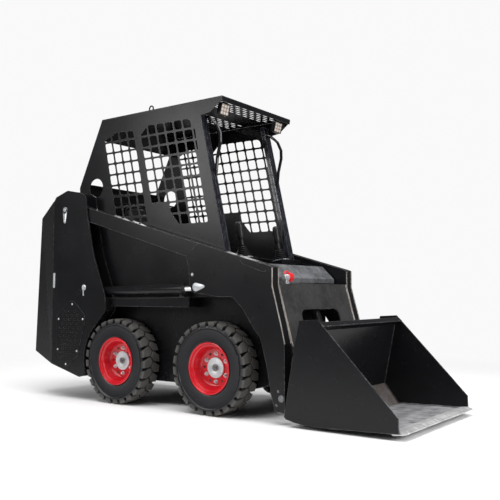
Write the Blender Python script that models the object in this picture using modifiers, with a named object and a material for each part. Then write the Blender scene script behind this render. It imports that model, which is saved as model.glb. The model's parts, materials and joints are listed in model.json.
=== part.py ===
"""Compact wheeled skid steer loader, as separate named pieces around its real pivots.

Metres, +Z up, +X forward, +Y to the machine's left. Every station is measured from the rear
axle's line on the ground; the whole machine then hangs on one empty that puts the world's
origin under the middle of its length.
"""

import math

import bmesh
import bpy
from mathutils import Matrix, Vector

# ---------------------------------------------------------------- driving dimensions
TYRE_RADIUS = 0.292
TYRE_WIDTH = 0.145
RIM_RADIUS = 0.158
RIM_DISH = 0.085  # depth of the wheel's disc below the tyre's side
WHEELBASE = 0.830
WIDTH_OVER_TYRES = 1.000
SPINDLE_RADIUS = 0.030
WHEEL_FACETS = 32
AXLE_TUBE_RADIUS = 0.055

TYRE_TO_TUB = 0.020
TUB_NOSE = 0.360  # the tub's front, ahead of the front axle
TUB_SHEET = 0.008
BELLY_CLEARANCE = 0.163
DECK_HEIGHT = 0.735
FENDER_DEPTH = 0.067
FENDER_STEP = 0.057  # width of the fender outside the cab
FENDER_REAR = -0.080
FENDER_FRONT_GAP = 0.190  # from the fender's end to the front axle

SEAM_STATION = -0.655
SEAM_GAP = 0.0078
DOOR_DEPTH_TOP = 0.251
DOOR_DEPTH_BOTTOM = 0.303
DOOR_SIDE_TAPER = 0.086
DOOR_TOP_DROP = 0.108
DOOR_BOTTOM_RISE = 0.078
DOOR_SHEET = 0.004
HINGE_RADIUS = 0.006
TOWER_PLATE = 0.0085
TOWER_INNER_PLATE = 0.008
TOWER_WALL = 0.006
TOWER_PEAK = 1.516
TOWER_SEAM_TOP = 1.448
TOWER_SEAM_BOTTOM = 0.240
VENT_SHEET = 0.003
ARCH_GAP = 0.014  # between the rear tyre and the tower's edge

CAB_BEYOND_TUB = 0.068
CAB_SHEET = 0.004
ROOF_HEIGHT = 2.030
ROOF_SHEET = 0.004
ROOF_LIP = 0.036
ROOF_REAR = -0.259
ROOF_FRONT = 0.862
EYE_STATION = 0.210
EYE_INSET = 0.030
POST_TOP = (0.668, 1.993)
POST_WIDTH = 0.058
POST_DEPTH = 0.034
HANDLE_RADIUS = 0.011
SCREEN_PITCH = 0.080
SCREEN_BAR = 0.014
SMALLEST_HOLE = 0.0008  # square metres
CAB_LEAN = -0.228  # change of station for each metre of height along the front posts
SEAT_DECK = 0.950
DECK_SHEET = 0.005
FOOT_WELL_FLOOR = 0.420
POST_SEAT = 0.991
CONSOLE_LEAN = 0.180
LAMP_INSET = 0.090  # from the cab's side to a lamp's middle
LAMP_TILT = 0.26

ARM_WIDTH = 0.076
ARM_POCKET = 0.049  # width of the slot that takes the rod's eye
LIFT_PIVOT = (-0.530, 1.370)
LIFT_PIN_RADIUS = 0.024
LIFT_EYE_RADIUS = 0.072
ROD_PIN = (WHEELBASE - 0.103, 0.790)
LIFT_CYLINDER_BASE = (-0.360, 0.770)
LIFT_BASE_PIN_RADIUS = 0.018
LIFT_BARREL_RADIUS = 0.032
LIFT_ROD_SHOWN = 0.119  # rod outside the barrel when the arms are down
LIFT_ROD_RADIUS = 0.018
LIFT_ROD_INWARD = 0.004
BUCKET_PIVOT = (WHEELBASE + 0.542, 0.152)
BUCKET_PIN_RADIUS = 0.020
TILT_CYLINDER_BASE = (WHEELBASE + 0.425, 0.775)
TILT_EYE = (WHEELBASE + 0.610, 0.305)
TILT_BASE_PIN_RADIUS = 0.014
TILT_BARREL_RADIUS = 0.028
TILT_ROD_SHOWN = 0.105  # rod outside the barrel when the bucket is flat
TILT_ROD_RADIUS = 0.015
TILT_ROD_INWARD = 0.056  # room left in the barrel for rolling the bucket back
LUG_GAP = 0.030  # half the space between the tilt cylinder's lugs
LUG_PLATE = 0.012

CROSS_TOP = (WHEELBASE + 0.467, 0.818)
CROSS_HEIGHT = 0.500
CROSS_PLATE = 0.010
CROSS_LEAN = math.atan2(0.061, 0.223)  # the same lean as the front edge of the knee
DOORWAY_HALF_WIDTH = 0.235
DOORWAY_ABOVE = 0.165  # plate left above the doorway
DOORWAY_ROUNDING = 0.050

BUCKET_OVERLAP = 0.0272  # from an arm's outer face to the bucket's outer face
BUCKET_SIDE = 0.008
BUCKET_SHEET = 0.006
EAR_PLATE = 0.014
LIP_STATION = WHEELBASE + 1.313

TOUCH = 0.0003  # gap kept between pieces that sit on each other
RUNNING = 0.0005  # radial play of a pin or rod in its bore
SWING = 0.0055  # side clearance of a piece that moves
SUNK = 0.004  # how far a welded plate reaches into the one that it meets

# ---------------------------------------------------------------- worked-out places
TUB_HALF_WIDTH = WIDTH_OVER_TYRES / 2 - TYRE_WIDTH - TYRE_TO_TUB
TUB_FRONT = WHEELBASE + TUB_NOSE
CAB_HALF_WIDTH = TUB_HALF_WIDTH + CAB_BEYOND_TUB
CAB_INSIDE = CAB_HALF_WIDTH - CAB_SHEET - TOUCH
FENDER_HALF_WIDTH = CAB_HALF_WIDTH + FENDER_STEP
ARM_INNER = CAB_HALF_WIDTH + TOUCH + TOWER_INNER_PLATE + SWING
ARM_MIDDLE = ARM_INNER + ARM_WIDTH / 2
ARM_OUTER = ARM_INNER + ARM_WIDTH
TOWER_HALF_WIDTH = ARM_OUTER + SWING + TOWER_PLATE
BUCKET_HALF_WIDTH = ARM_OUTER + BUCKET_OVERLAP
TYRE_MIDDLE = WIDTH_OVER_TYRES / 2 - TYRE_WIDTH / 2
DOOR_REAR = SEAM_STATION - DOOR_DEPTH_BOTTOM
HINGE_STATION = SEAM_STATION - 0.0025
HINGE_OFFSET = TOWER_HALF_WIDTH + HINGE_RADIUS
MIDDLE = (LIP_STATION + DOOR_REAR) / 2
SIDES = (("left", 1), ("right", -1))


# ---------------------------------------------------------------- scene, materials, groups
for old in list(bpy.data.objects):
    bpy.data.objects.remove(old, do_unlink=True)

PARTS = bpy.data.collections.new("skid_steer_loader")
CUTTERS = bpy.data.collections.new("cutters")
bpy.context.scene.collection.children.link(PARTS)
bpy.context.scene.collection.children.link(CUTTERS)


def material(name, colour, roughness, metallic=0.0):
    made = bpy.data.materials.new(name)
    made.use_nodes = True
    shader = made.node_tree.nodes["Principled BSDF"]
    shader.inputs["Base Color"].default_value = (*colour, 1.0)
    shader.inputs["Roughness"].default_value = roughness
    shader.inputs["Metallic"].default_value = metallic
    return made


BLACK_PAINT = material("black_paint", (0.018, 0.018, 0.020), 0.35)
RED_PAINT = material("red_paint", (0.62, 0.02, 0.03), 0.30)
TYRE_RUBBER = material("tyre_rubber", (0.035, 0.035, 0.036), 0.80)
STEEL = material("worn_steel", (0.42, 0.41, 0.40), 0.40, 1.0)
CHROME = material("chrome_rod", (0.75, 0.75, 0.76), 0.12, 1.0)
VINYL = material("seat_vinyl", (0.02, 0.02, 0.02), 0.60)
LAMP = material("lamp_face", (0.85, 0.82, 0.78), 0.35)
IRON = material("engine_iron", (0.12, 0.12, 0.12), 0.60, 0.5)
RUBBER = material("boot_rubber", (0.02, 0.02, 0.02), 0.70)


class Group:
    """An empty on a joint's axis that carries the pieces of one moving body."""

    def __init__(self, name, at, parent=None):
        self.empty = bpy.data.objects.new(name, None)
        PARTS.objects.link(self.empty)
        self.at = Vector(at)
        self.empty.parent = parent.empty if parent else None
        self.empty.location = self.at - parent.at if parent else self.at


MACHINE = Group("machine", (-MIDDLE, 0, 0))
MACHINE.at = Vector((0, 0, 0))
ARMS = Group("lift_arms", (LIFT_PIVOT[0], 0, LIFT_PIVOT[1]), MACHINE)
BUCKET = Group("bucket", (BUCKET_PIVOT[0], 0, BUCKET_PIVOT[1]), ARMS)


def piece(obj, name, finish, group):
    """Names an object as a sub-part of the machine, with its material and its body's empty."""
    obj.name = name
    obj.data.name = name
    obj.data.materials.clear()
    obj.data.materials.append(finish)
    for holder in list(obj.users_collection):
        holder.objects.unlink(obj)
    PARTS.objects.link(obj)
    obj.parent = group.empty
    obj.matrix_parent_inverse = Matrix.Translation(-group.at)
    return obj


# ---------------------------------------------------------------- shapes
def apply_scale(obj):
    """Puts the object's scale into its mesh."""
    obj.data.transform(Matrix.Diagonal((*obj.scale, 1.0)))
    obj.scale = (1, 1, 1)
    return obj


def box(low, high, bevel=0.0):
    """A block between two corners, with its edges rounded where a bevel is given."""
    low, high = Vector(low), Vector(high)
    bpy.ops.mesh.primitive_cube_add(size=1, location=(low + high) / 2)
    obj = bpy.context.object
    obj.scale = high - low
    apply_scale(obj)
    if bevel:
        edge = obj.modifiers.new("rounded", "BEVEL")
        edge.width = bevel
        edge.segments = 2
    return obj


def cylinder(centre, radius, length, axis="Y", sides=32):
    """A round bar along one axis of the machine."""
    turn = {"X": (0, math.pi / 2, 0), "Y": (math.pi / 2, 0, 0), "Z": (0, 0, 0)}[axis]
    bpy.ops.mesh.primitive_cylinder_add(
        vertices=sides, radius=radius, depth=length, location=centre, rotation=turn
    )
    return bpy.context.object


def mesh_of(curve_object):
    """Turns a curve object into a closed mesh object in the same place."""
    view = bpy.context.evaluated_depsgraph_get()
    mesh = bpy.data.meshes.new_from_object(curve_object.evaluated_get(view))
    work = bmesh.new()
    work.from_mesh(mesh)
    bmesh.ops.remove_doubles(work, verts=work.verts, dist=1e-5)
    work.to_mesh(mesh)
    work.free()
    obj = bpy.data.objects.new(curve_object.name, mesh)
    obj.matrix_world = curve_object.matrix_world.copy()
    bpy.context.scene.collection.objects.link(obj)
    bpy.data.objects.remove(curve_object)
    return obj


def flat(outline, thickness, holes=()):
    """A flat outline with its holes, filled and made thick, as a curve object in its own XY."""
    curve = bpy.data.curves.new("outline", "CURVE")
    curve.dimensions = "2D"
    curve.fill_mode = "BOTH"
    curve.extrude = thickness / 2
    for ring in (outline, *holes):
        spline = curve.splines.new("POLY")
        spline.points.add(len(ring) - 1)
        for point, (u, v) in zip(spline.points, ring):
            point.co = (u, v, 0, 1)
        spline.use_cyclic_u = True
    obj = bpy.data.objects.new("outline", curve)
    bpy.context.scene.collection.objects.link(obj)
    return obj


def side_plate(outline, inner, outer, side=1, holes=()):
    """A plate seen from the side: station and height outline, between two distances from the middle."""
    obj = flat(outline, outer - inner, holes)
    obj.rotation_euler = (math.pi / 2, 0, 0)
    obj.location = (0, side * (inner + outer) / 2, 0)
    bpy.context.view_layer.update()
    return mesh_of(obj)


def leaning_plate(outline, thickness, at, lean):
    """A plate across the machine: (left, up the plate) outline, tipped back by lean radians."""
    obj = flat(outline, thickness)
    obj.matrix_world = (
        Matrix.Translation(at)
        @ Matrix.Rotation(-lean, 4, "Y")
        @ Matrix(((0, 0, 1, 0), (1, 0, 0, 0), (0, 1, 0, 0), (0, 0, 0, 1)))
    )
    bpy.context.view_layer.update()
    return mesh_of(obj)


def turned(profile, sides):
    """A ring or knob: a closed (radius, along) profile carried round the Z axis."""
    mesh = bpy.data.meshes.new("profile")
    edges = [(i, (i + 1) % len(profile)) for i in range(len(profile))]
    if profile[0][0] == 0 and profile[-1][0] == 0:
        edges.pop()
    mesh.from_pydata([(r, 0, h) for r, h in profile], edges, [])
    obj = bpy.data.objects.new("turned", mesh)
    bpy.context.scene.collection.objects.link(obj)
    screw = obj.modifiers.new("turn", "SCREW")
    screw.steps = screw.render_steps = sides
    screw.use_merge_vertices = True
    screw.merge_threshold = 0.0001
    return obj


def tube(points, radius):
    """A bent bar through the given points, with flat ends."""
    curve = bpy.data.curves.new("tube", "CURVE")
    curve.dimensions = "3D"
    curve.bevel_depth = radius
    curve.bevel_resolution = 2
    curve.use_fill_caps = True
    spline = curve.splines.new("POLY")
    spline.points.add(len(points) - 1)
    for point, place in zip(spline.points, points):
        point.co = (*place, 1)
    obj = bpy.data.objects.new("tube", curve)
    bpy.context.scene.collection.objects.link(obj)
    bpy.context.view_layer.update()
    return mesh_of(obj)


def ahead(points):
    """Stations of side-view points that are measured forward from the front axle."""
    return [(WHEELBASE + x, z) for x, z in points]


def post_station(height, depth=0.0):
    """Station of the front post's front face at a height, or of a place behind it."""
    return POST_TOP[0] + CAB_LEAN * (height - POST_TOP[1]) - depth


def arc(centre, radius, start, end, steps):
    """Points on a circle from one angle to another, in degrees."""
    angles = [math.radians(start + (end - start) * i / steps) for i in range(steps + 1)]
    return [(centre[0] + radius * math.cos(a), centre[1] + radius * math.sin(a)) for a in angles]


def strip(path, thickness):
    """The outline of a bent sheet: a path and the same path moved to its left by the thickness."""
    points = [Vector(p) for p in path]
    moved = []
    for i, point in enumerate(points):
        before = (point - points[i - 1]).normalized() if i else None
        after = (points[i + 1] - point).normalized() if i + 1 < len(points) else None
        ways = [way for way in (before, after) if way]
        normals = [Vector((-way.y, way.x)) for way in ways]
        middle = sum(normals, Vector((0, 0))).normalized()
        moved.append(point + middle * thickness / middle.dot(normals[0]))
    return [tuple(p) for p in points] + [tuple(p) for p in reversed(moved)]


def apart(cutter):
    """Keeps a cutter or a welded-on shape out of the model's own pieces."""
    cutter.display_type = "WIRE"
    cutter.hide_render = True
    for holder in list(cutter.users_collection):
        holder.objects.unlink(cutter)
    CUTTERS.objects.link(cutter)
    cutter.parent = MACHINE.empty
    return cutter


def combine(obj, others, operation):
    for other in others:
        change = obj.modifiers.new(operation.lower(), "BOOLEAN")
        change.operation = operation
        change.solver = "EXACT"
        change.object = apart(other)
    return obj


def cut(obj, *cutters):
    return combine(obj, cutters, "DIFFERENCE")


def weld(obj, *others):
    return combine(obj, others, "UNION")


def clipped(subject, cell):
    """The part of a polygon inside a convex cell whose corners run anticlockwise."""
    result = subject
    for i, a in enumerate(cell):
        b = cell[(i + 1) % len(cell)]
        source, result = result, []
        for j, q in enumerate(source):
            p = source[j - 1]
            side_p = (b[0] - a[0]) * (p[1] - a[1]) - (b[1] - a[1]) * (p[0] - a[0])
            side_q = (b[0] - a[0]) * (q[1] - a[1]) - (b[1] - a[1]) * (q[0] - a[0])
            if side_p * side_q < 0:
                t = side_p / (side_p - side_q)
                result.append((p[0] + t * (q[0] - p[0]), p[1] + t * (q[1] - p[1])))
            if side_q >= 0:
                result.append(q)
        if len(result) < 3:
            return []
    return result


def polygon_area(ring):
    return abs(sum(p[0] * q[1] - q[0] * p[1] for p, q in zip(ring, ring[1:] + ring[:1]))) / 2


def screen_holes(window, corner):
    """The openings of a punched screen: cells that lean with the posts, clipped to the window."""
    low = min(v for _, v in window)
    high = max(v for _, v in window)
    rows = range(int((low - corner[1]) / SCREEN_PITCH) - 1, int((high - corner[1]) / SCREEN_PITCH) + 1)
    holes = []
    for row in rows:
        bottom = corner[1] + row * SCREEN_PITCH + SCREEN_BAR / 2
        top = bottom + SCREEN_PITCH - SCREEN_BAR
        for column in range(-1, 8):
            left = corner[0] + column * SCREEN_PITCH + SCREEN_BAR / 2
            right = left + SCREEN_PITCH - SCREEN_BAR
            lean_low = CAB_LEAN * (bottom - corner[1])
            lean_high = CAB_LEAN * (top - corner[1])
            cell = [(left + lean_low, bottom), (right + lean_low, bottom)]
            cell += [(right + lean_high, top), (left + lean_high, top)]
            hole = clipped(window, cell)
            if hole and polygon_area(hole) > SMALLEST_HOLE:
                holes.append(hole)
    return holes


# ---------------------------------------------------------------- wheels
def wheel(name, station, side):
    """A solid-type tyre on a dished rim that runs on a fixed spindle."""
    middle = (station, side * TYRE_MIDDLE, TYRE_RADIUS)
    group = Group(f"wheel_{name}", middle, MACHINE)
    half = TYRE_WIDTH / 2
    turn = (-side * math.pi / 2, 0, 0)
    tread = TYRE_RADIUS
    tyre = turned(
        [
            (tread - 0.010, half),
            (tread, half - 0.012),
            (tread, -half + 0.012),
            (tread - 0.010, -half),
            (RIM_RADIUS + 0.010, -half + 0.010),
            (RIM_RADIUS + TOUCH, -half + 0.018),
            (RIM_RADIUS + TOUCH, half - 0.018),
            (RIM_RADIUS + 0.010, half - 0.010),
        ],
        WHEEL_FACETS,
    )
    tyre.rotation_euler = turn
    tyre.location = middle
    piece(tyre, f"tyre_{name}", TYRE_RUBBER, group)
    disc = half - RIM_DISH
    rim = turned(
        [
            (RIM_RADIUS, half - 0.014),
            (RIM_RADIUS, -half + 0.018),
            (RIM_RADIUS - 0.008, -half + 0.012),
            (RIM_RADIUS - 0.010, disc - 0.012),
            (0.080, disc - 0.014),
            (0.050, -half + 0.020),
            (SPINDLE_RADIUS + RUNNING, -half + 0.020),
            (SPINDLE_RADIUS + RUNNING, disc),
            (RIM_RADIUS - 0.043, disc),
            (RIM_RADIUS - 0.014, disc + 0.004),
            (RIM_RADIUS - 0.008, half - 0.030),
            (RIM_RADIUS - 0.006, half - 0.014),
        ],
        WHEEL_FACETS,
    )
    rim.rotation_euler = turn
    rim.location = middle
    piece(rim, f"rim_{name}", RED_PAINT, group)


def axle(name, station):
    """One axle: a tube through the tub with a spindle at each end for its two wheels."""
    hub_inside = TYRE_MIDDLE - TYRE_WIDTH / 2 + 0.020
    length = 2 * (hub_inside - SWING)
    beam = cylinder((station, 0, TYRE_RADIUS), AXLE_TUBE_RADIUS, length)
    reach = 2 * (WIDTH_OVER_TYRES / 2 - RIM_DISH - 0.002)
    weld(beam, cylinder((station, 0, TYRE_RADIUS), SPINDLE_RADIUS, reach))
    piece(beam, f"axle_{name}", STEEL, MACHINE)


# ---------------------------------------------------------------- chassis
def chassis_tub():
    """The welded body between the wheels: an open-topped trough of plate."""
    rear = SEAM_STATION + 0.010
    nose_low = 0.205
    nose_bend = TUB_FRONT - 0.140
    belly_rear = -0.350
    outer = [
        (rear, TOWER_SEAM_BOTTOM),
        (belly_rear, BELLY_CLEARANCE),
        (nose_bend, BELLY_CLEARANCE),
        (TUB_FRONT, nose_low),
        (TUB_FRONT, DECK_HEIGHT - 0.005),
        (rear, DECK_HEIGHT - 0.005),
    ]
    inner = [
        (rear + TUB_SHEET, TOWER_SEAM_BOTTOM + TUB_SHEET),
        (belly_rear, BELLY_CLEARANCE + TUB_SHEET),
        (nose_bend, BELLY_CLEARANCE + TUB_SHEET),
        (TUB_FRONT - TUB_SHEET, nose_low + TUB_SHEET),
        (TUB_FRONT - TUB_SHEET, DECK_HEIGHT + 0.100),
        (rear + TUB_SHEET, DECK_HEIGHT + 0.100),
    ]
    tub = side_plate(outer, -TUB_HALF_WIDTH, TUB_HALF_WIDTH)
    cut(tub, side_plate(inner, -TUB_HALF_WIDTH + TUB_SHEET, TUB_HALF_WIDTH - TUB_SHEET))
    for station in (0, WHEELBASE):
        hole = cylinder((station, 0, TYRE_RADIUS), AXLE_TUBE_RADIUS + TOUCH, 3 * TUB_HALF_WIDTH)
        cut(tub, hole)
    piece(tub, "chassis_tub", BLACK_PAINT, MACHINE)


def fenders():
    """The boxed step over the two wheels of each side."""
    for name, side in SIDES:
        inner = side * (TUB_HALF_WIDTH + TOUCH)
        outer = side * FENDER_HALF_WIDTH
        low = (FENDER_REAR, min(inner, outer), DECK_HEIGHT - FENDER_DEPTH)
        high = (WHEELBASE - FENDER_FRONT_GAP, max(inner, outer), DECK_HEIGHT - TOUCH)
        fender = box(low, high, bevel=0.004)
        piece(fender, f"fender_{name}", BLACK_PAINT, MACHINE)


def tower_outline():
    """The outer skin of a lift-arm tower, with its front edge clearing the rear tyre in an arc."""
    arch = arc((0, TYRE_RADIUS), TYRE_RADIUS + ARCH_GAP, 129, 198, 10)
    outline = [
        (SEAM_STATION, TOWER_SEAM_TOP),
        (SEAM_STATION, TOWER_SEAM_BOTTOM),
        (-0.351, BELLY_CLEARANCE),
        (-0.312, 0.172),
    ]
    outline += reversed(arch)
    outline += [
        (-0.092, 0.640),
        (-0.089, 0.672),
        (-0.097, 0.747),
        (-0.212, 1.021),
        (-0.250, 1.167),
        (-0.289, 1.332),
        (-0.306, 1.460),
        (-0.364, 1.489),
        (-0.505, TOWER_PEAK),
        (-0.633, 1.476),
    ]
    return outline


def towers():
    """The boxed uprights that carry the lift arms and the foot of each lift cylinder."""
    inner_face = CAB_HALF_WIDTH + TOUCH
    inner_back = inner_face + TOWER_INNER_PLATE
    outer_face = TOWER_HALF_WIDTH - TOWER_PLATE
    inset = 0.002
    for name, side in SIDES:
        outline = tower_outline()
        tower = side_plate(outline, outer_face, TOWER_HALF_WIDTH, side)
        inner = side_plate(outline, inner_face, inner_back, side)
        seam = SEAM_STATION + inset
        rear = side_plate(
            [
                (seam, TOWER_SEAM_BOTTOM + inset),
                (seam + TOWER_WALL, TOWER_SEAM_BOTTOM + inset),
                (seam + TOWER_WALL, TOWER_SEAM_TOP),
                (seam, TOWER_SEAM_TOP - inset),
            ],
            TUB_HALF_WIDTH + TOUCH,
            outer_face + SUNK,
            side,
        )
        crown = side_plate(
            strip([(seam, TOWER_SEAM_TOP - 0.010), (-0.632, 1.473), (-0.608, 1.480)][::-1], TOWER_WALL),
            inner_face + SUNK,
            outer_face + SUNK,
            side,
        )
        foot_path = [(seam, TOWER_SEAM_BOTTOM + inset), (-0.350, BELLY_CLEARANCE + inset)]
        foot_path += [(-0.314, 0.175)]
        foot_path += reversed(arc((0, TYRE_RADIUS), TYRE_RADIUS + ARCH_GAP + inset, 129, 197, 8))
        foot_path += [(-0.094, 0.641), (-0.091, 0.672), (-0.091, DECK_HEIGHT - 0.004)]
        foot = side_plate(strip(foot_path, TOWER_WALL), inner_face + SUNK, outer_face + SUNK, side)
        pin_inner, pin_outer = inner_face + SUNK / 2, TOWER_HALF_WIDTH + SUNK
        span = pin_outer - pin_inner
        middle = side * (pin_inner + pin_outer) / 2
        pivot_pin = cylinder((LIFT_PIVOT[0], middle, LIFT_PIVOT[1]), LIFT_PIN_RADIUS, span)
        foot_at = (LIFT_CYLINDER_BASE[0], middle, LIFT_CYLINDER_BASE[1])
        foot_pin = cylinder(foot_at, LIFT_BASE_PIN_RADIUS, span)
        weld(tower, inner, rear, crown, foot, pivot_pin, foot_pin)
        if side > 0:
            spans = [span for low, high in HINGES for span in ((low, low + KNUCKLE), (high - KNUCKLE, high))]
            weld(tower, *hinge_knuckles(TOWER_LEAF, spans))
        piece(tower, f"tower_{name}", BLACK_PAINT, MACHINE)


# heights of each hinge's ends, and plan outlines of its two leaves from the hinge pin
HINGES = ((0.40, 0.52), (1.18, 1.30))
KNUCKLE = 0.040
TOWER_LEAF = [(0.0, 0.004), (0.0, -0.004), (0.003, -0.009), (0.0375, -0.009), (0.0375, -0.002)]
DOOR_LEAF = [(0.0, 0.004), (-0.0425, -0.0135), (-0.0425, -0.0205), (-0.008, -0.0110), (0.0, -0.004)]


def hinge_knuckles(leaf, spans):
    """Short hinge barrels on the left-hand seam, each on a leaf with the given plan outline."""
    shapes = []
    for low, high in spans:
        centre = (HINGE_STATION, HINGE_OFFSET, (low + high) / 2)
        shapes.append(cylinder(centre, HINGE_RADIUS, high - low, "Z", 16))
        plan = flat([(HINGE_STATION + x, HINGE_OFFSET + y) for x, y in leaf], high - low - 0.002)
        plan.location = (0, 0, (low + high) / 2)
        bpy.context.view_layer.update()
        shapes.append(mesh_of(plan))
    return shapes


def engine_block():
    engine = box((-0.600, -0.240, 0.300), (-0.250, 0.240, 0.820), bevel=0.010)
    piece(engine, "engine_block", IRON, MACHINE)
    for name, side in SIDES:
        foot = box((-0.520, side * 0.200 - 0.03, 0.2170), (-0.400, side * 0.200 + 0.03, 0.310))
        weld(engine, foot)


def engine_hood():
    """The bent cover between the towers, behind the cab."""
    path = [(-0.6465, 0.760), (-0.6465, 1.436), (-0.500, 1.462)]
    half = CAB_HALF_WIDTH - TOUCH
    hood = side_plate(strip(path[::-1], 0.004), -half, half)
    piece(hood, "engine_hood", BLACK_PAINT, MACHINE)


def vent_covers():
    """The slotted service cover low on each tower, held by six screws."""
    outline = [
        (-0.494, 0.222),
        (-0.352, 0.322),
        (-0.350, 0.372),
        (-0.292, 0.560),
        (-0.300, 0.610),
        (-0.410, 0.700),
        (-0.460, 0.706),
        (-0.600, 0.600),
        (-0.606, 0.560),
        (-0.602, 0.330),
        (-0.580, 0.300),
    ]
    for name, side in SIDES:
        inner = TOWER_HALF_WIDTH + TOUCH
        cover = side_plate(outline, inner, inner + VENT_SHEET, side)
        piece(cover, f"vent_cover_{name}", BLACK_PAINT, MACHINE)


# ---------------------------------------------------------------- rear door
def rear_door():
    """The folded engine door: a shell whose sides bend in towards the back."""
    group = Group("rear_door_hinge", (HINGE_STATION, HINGE_OFFSET, 0.9), MACHINE)
    front = SEAM_STATION - SEAM_GAP
    front_half = TOWER_HALF_WIDTH - 0.0015
    rear_top = SEAM_STATION - DOOR_DEPTH_TOP
    rear_half = front_half - DOOR_SIDE_TAPER
    corners = {
        (1, 1): (front, front_half, TOWER_SEAM_TOP - 0.002),
        (1, -1): (front, front_half, TOWER_SEAM_BOTTOM + 0.002),
        (-1, 1): (rear_top, rear_half, TOWER_SEAM_TOP - DOOR_TOP_DROP),
        (-1, -1): (DOOR_REAR, rear_half, TOWER_SEAM_BOTTOM + DOOR_BOTTOM_RISE),
    }
    work = bmesh.new()
    bmesh.ops.create_cube(work, size=2)
    open_face = max(work.faces, key=lambda face: face.calc_center_median().x)
    bmesh.ops.delete(work, geom=[open_face], context="FACES_ONLY")
    for vertex in work.verts:
        station, half, height = corners[(round(vertex.co.x), round(vertex.co.z))]
        vertex.co = (station, math.copysign(half, vertex.co.y), height)
    mesh = bpy.data.meshes.new("rear_door")
    work.to_mesh(mesh)
    work.free()
    door = bpy.data.objects.new("rear_door", mesh)
    bpy.context.scene.collection.objects.link(door)
    wall = door.modifiers.new("sheet", "SOLIDIFY")
    wall.thickness = DOOR_SHEET
    wall.offset = -1
    wall.use_even_offset = True
    spans = [(low + KNUCKLE + RUNNING, high - KNUCKLE - RUNNING) for low, high in HINGES]
    weld(door, *hinge_knuckles(DOOR_LEAF, spans))
    piece(door, "rear_door", BLACK_PAINT, group)


# ---------------------------------------------------------------- cab
REAR_WINDOW = [(-0.110, 1.250), (0.212, 1.250), (0.073, 1.862), (0.056, 1.908), (-0.105, 1.918), (-0.245, 1.866)]
FRONT_WINDOW = [
    (0.247, 1.376),
    (0.374, 1.360),
    (0.502, 1.219),
    (0.735, 1.212),
    (0.758, 1.240),
    (0.627, 1.878),
    (0.571, 1.918),
    (0.200, 1.924),
    (0.132, 1.862),
]


def cab_sides():
    """Each side of the cab: one sheet from roof to deck, punched with its two window screens."""
    outline = [
        (-0.290, DECK_HEIGHT + TOUCH),
        (TUB_FRONT, DECK_HEIGHT + TOUCH),
        (TUB_FRONT, 0.880),
        (TUB_FRONT - 0.090, 0.946),
        (post_station(0.990), 0.990),
        (post_station(1.927), 1.927),
        (0.765, 1.937),
        (ROOF_FRONT, 2.010),
        (ROOF_FRONT, ROOF_HEIGHT - ROOF_SHEET - 0.0005),
        (ROOF_REAR, ROOF_HEIGHT - ROOF_SHEET - 0.0005),
        (-0.492, 1.545),
        (-0.485, 1.475),
        (-0.290, 1.400),
    ]
    handle_hole = arc((-0.311, 1.529), 0.070, 0, 345, 23)
    holes = screen_holes(REAR_WINDOW, (-0.232, 1.852)) + screen_holes(FRONT_WINDOW, (0.132, 1.852))
    for name, side in SIDES:
        sheet = side_plate(
            outline, CAB_HALF_WIDTH - CAB_SHEET, CAB_HALF_WIDTH, side, [handle_hole, *holes]
        )
        piece(sheet, f"cab_side_{name}", BLACK_PAINT, MACHINE)


def cab_roof():
    """The roof sheet with turned-down front lip and two lifting eyes."""
    top = ROOF_HEIGHT
    half = CAB_HALF_WIDTH
    roof = side_plate(strip([(ROOF_FRONT, top), (ROOF_REAR, top)], ROOF_SHEET), -half, half)
    header = [(ROOF_REAR + 0.004, top - 0.001), (-0.322, 1.893)]
    weld(roof, side_plate(strip(header, ROOF_SHEET), -CAB_INSIDE, CAB_INSIDE))
    lip_low = (ROOF_FRONT - ROOF_SHEET - 0.0005, -CAB_INSIDE, top - ROOF_LIP)
    weld(roof, box(lip_low, (ROOF_FRONT - 0.0005, CAB_INSIDE, top - ROOF_SHEET / 2)))
    for side in (1, -1):
        eye_side = side * (half - EYE_INSET)
        collar = cylinder((EYE_STATION, eye_side, top), 0.024, 0.006, "Z", 24)
        bpy.ops.mesh.primitive_torus_add(
            major_radius=0.018,
            minor_radius=0.005,
            major_segments=14,
            minor_segments=6,
            location=(EYE_STATION, eye_side, top + 0.0195),
            rotation=(math.pi / 2, 0, 0),
        )
        weld(roof, collar, bpy.context.object)
    piece(roof, "cab_roof", BLACK_PAINT, MACHINE)


def cab_rear_panel():
    """The sheet that closes the back of the cab below its open rear window."""
    half = CAB_INSIDE
    path = [(-0.468, 1.580), (-0.482, 1.545), (-0.476, 1.470), (-0.285, 1.440), (-0.285, 0.960)]
    panel = side_plate(strip(path, 0.004), -half, half)
    piece(panel, "cab_rear_panel", BLACK_PAINT, MACHINE)


def front_posts():
    """The leaning posts of the cab's entrance, each with its bent grab handle."""
    foot = POST_SEAT
    top = 1.990
    bend = [
        (post_station(1.930, 0.010), 1.930),
        (post_station(1.915) + 0.035, 1.915),
        (post_station(1.860) + 0.085, 1.860),
        (post_station(1.800) + 0.100, 1.800),
        (post_station(1.740) + 0.088, 1.740),
        (post_station(1.640) + 0.040, 1.640),
        (post_station(1.560) + 0.014, 1.560),
        (post_station(1.500, 0.008), 1.500),
    ]
    outline = [
        (post_station(foot), foot),
        (post_station(top), top),
        (post_station(top, POST_DEPTH), top),
        (post_station(foot, POST_DEPTH), foot),
    ]
    inner = CAB_INSIDE - POST_WIDTH
    for name, side in SIDES:
        post = side_plate(outline, inner, CAB_INSIDE, side)
        handle = tube([(x, side * (inner + 0.016), z) for x, z in bend], HANDLE_RADIUS)
        weld(post, handle)
        piece(post, f"front_post_{name}", BLACK_PAINT, MACHINE)


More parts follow.
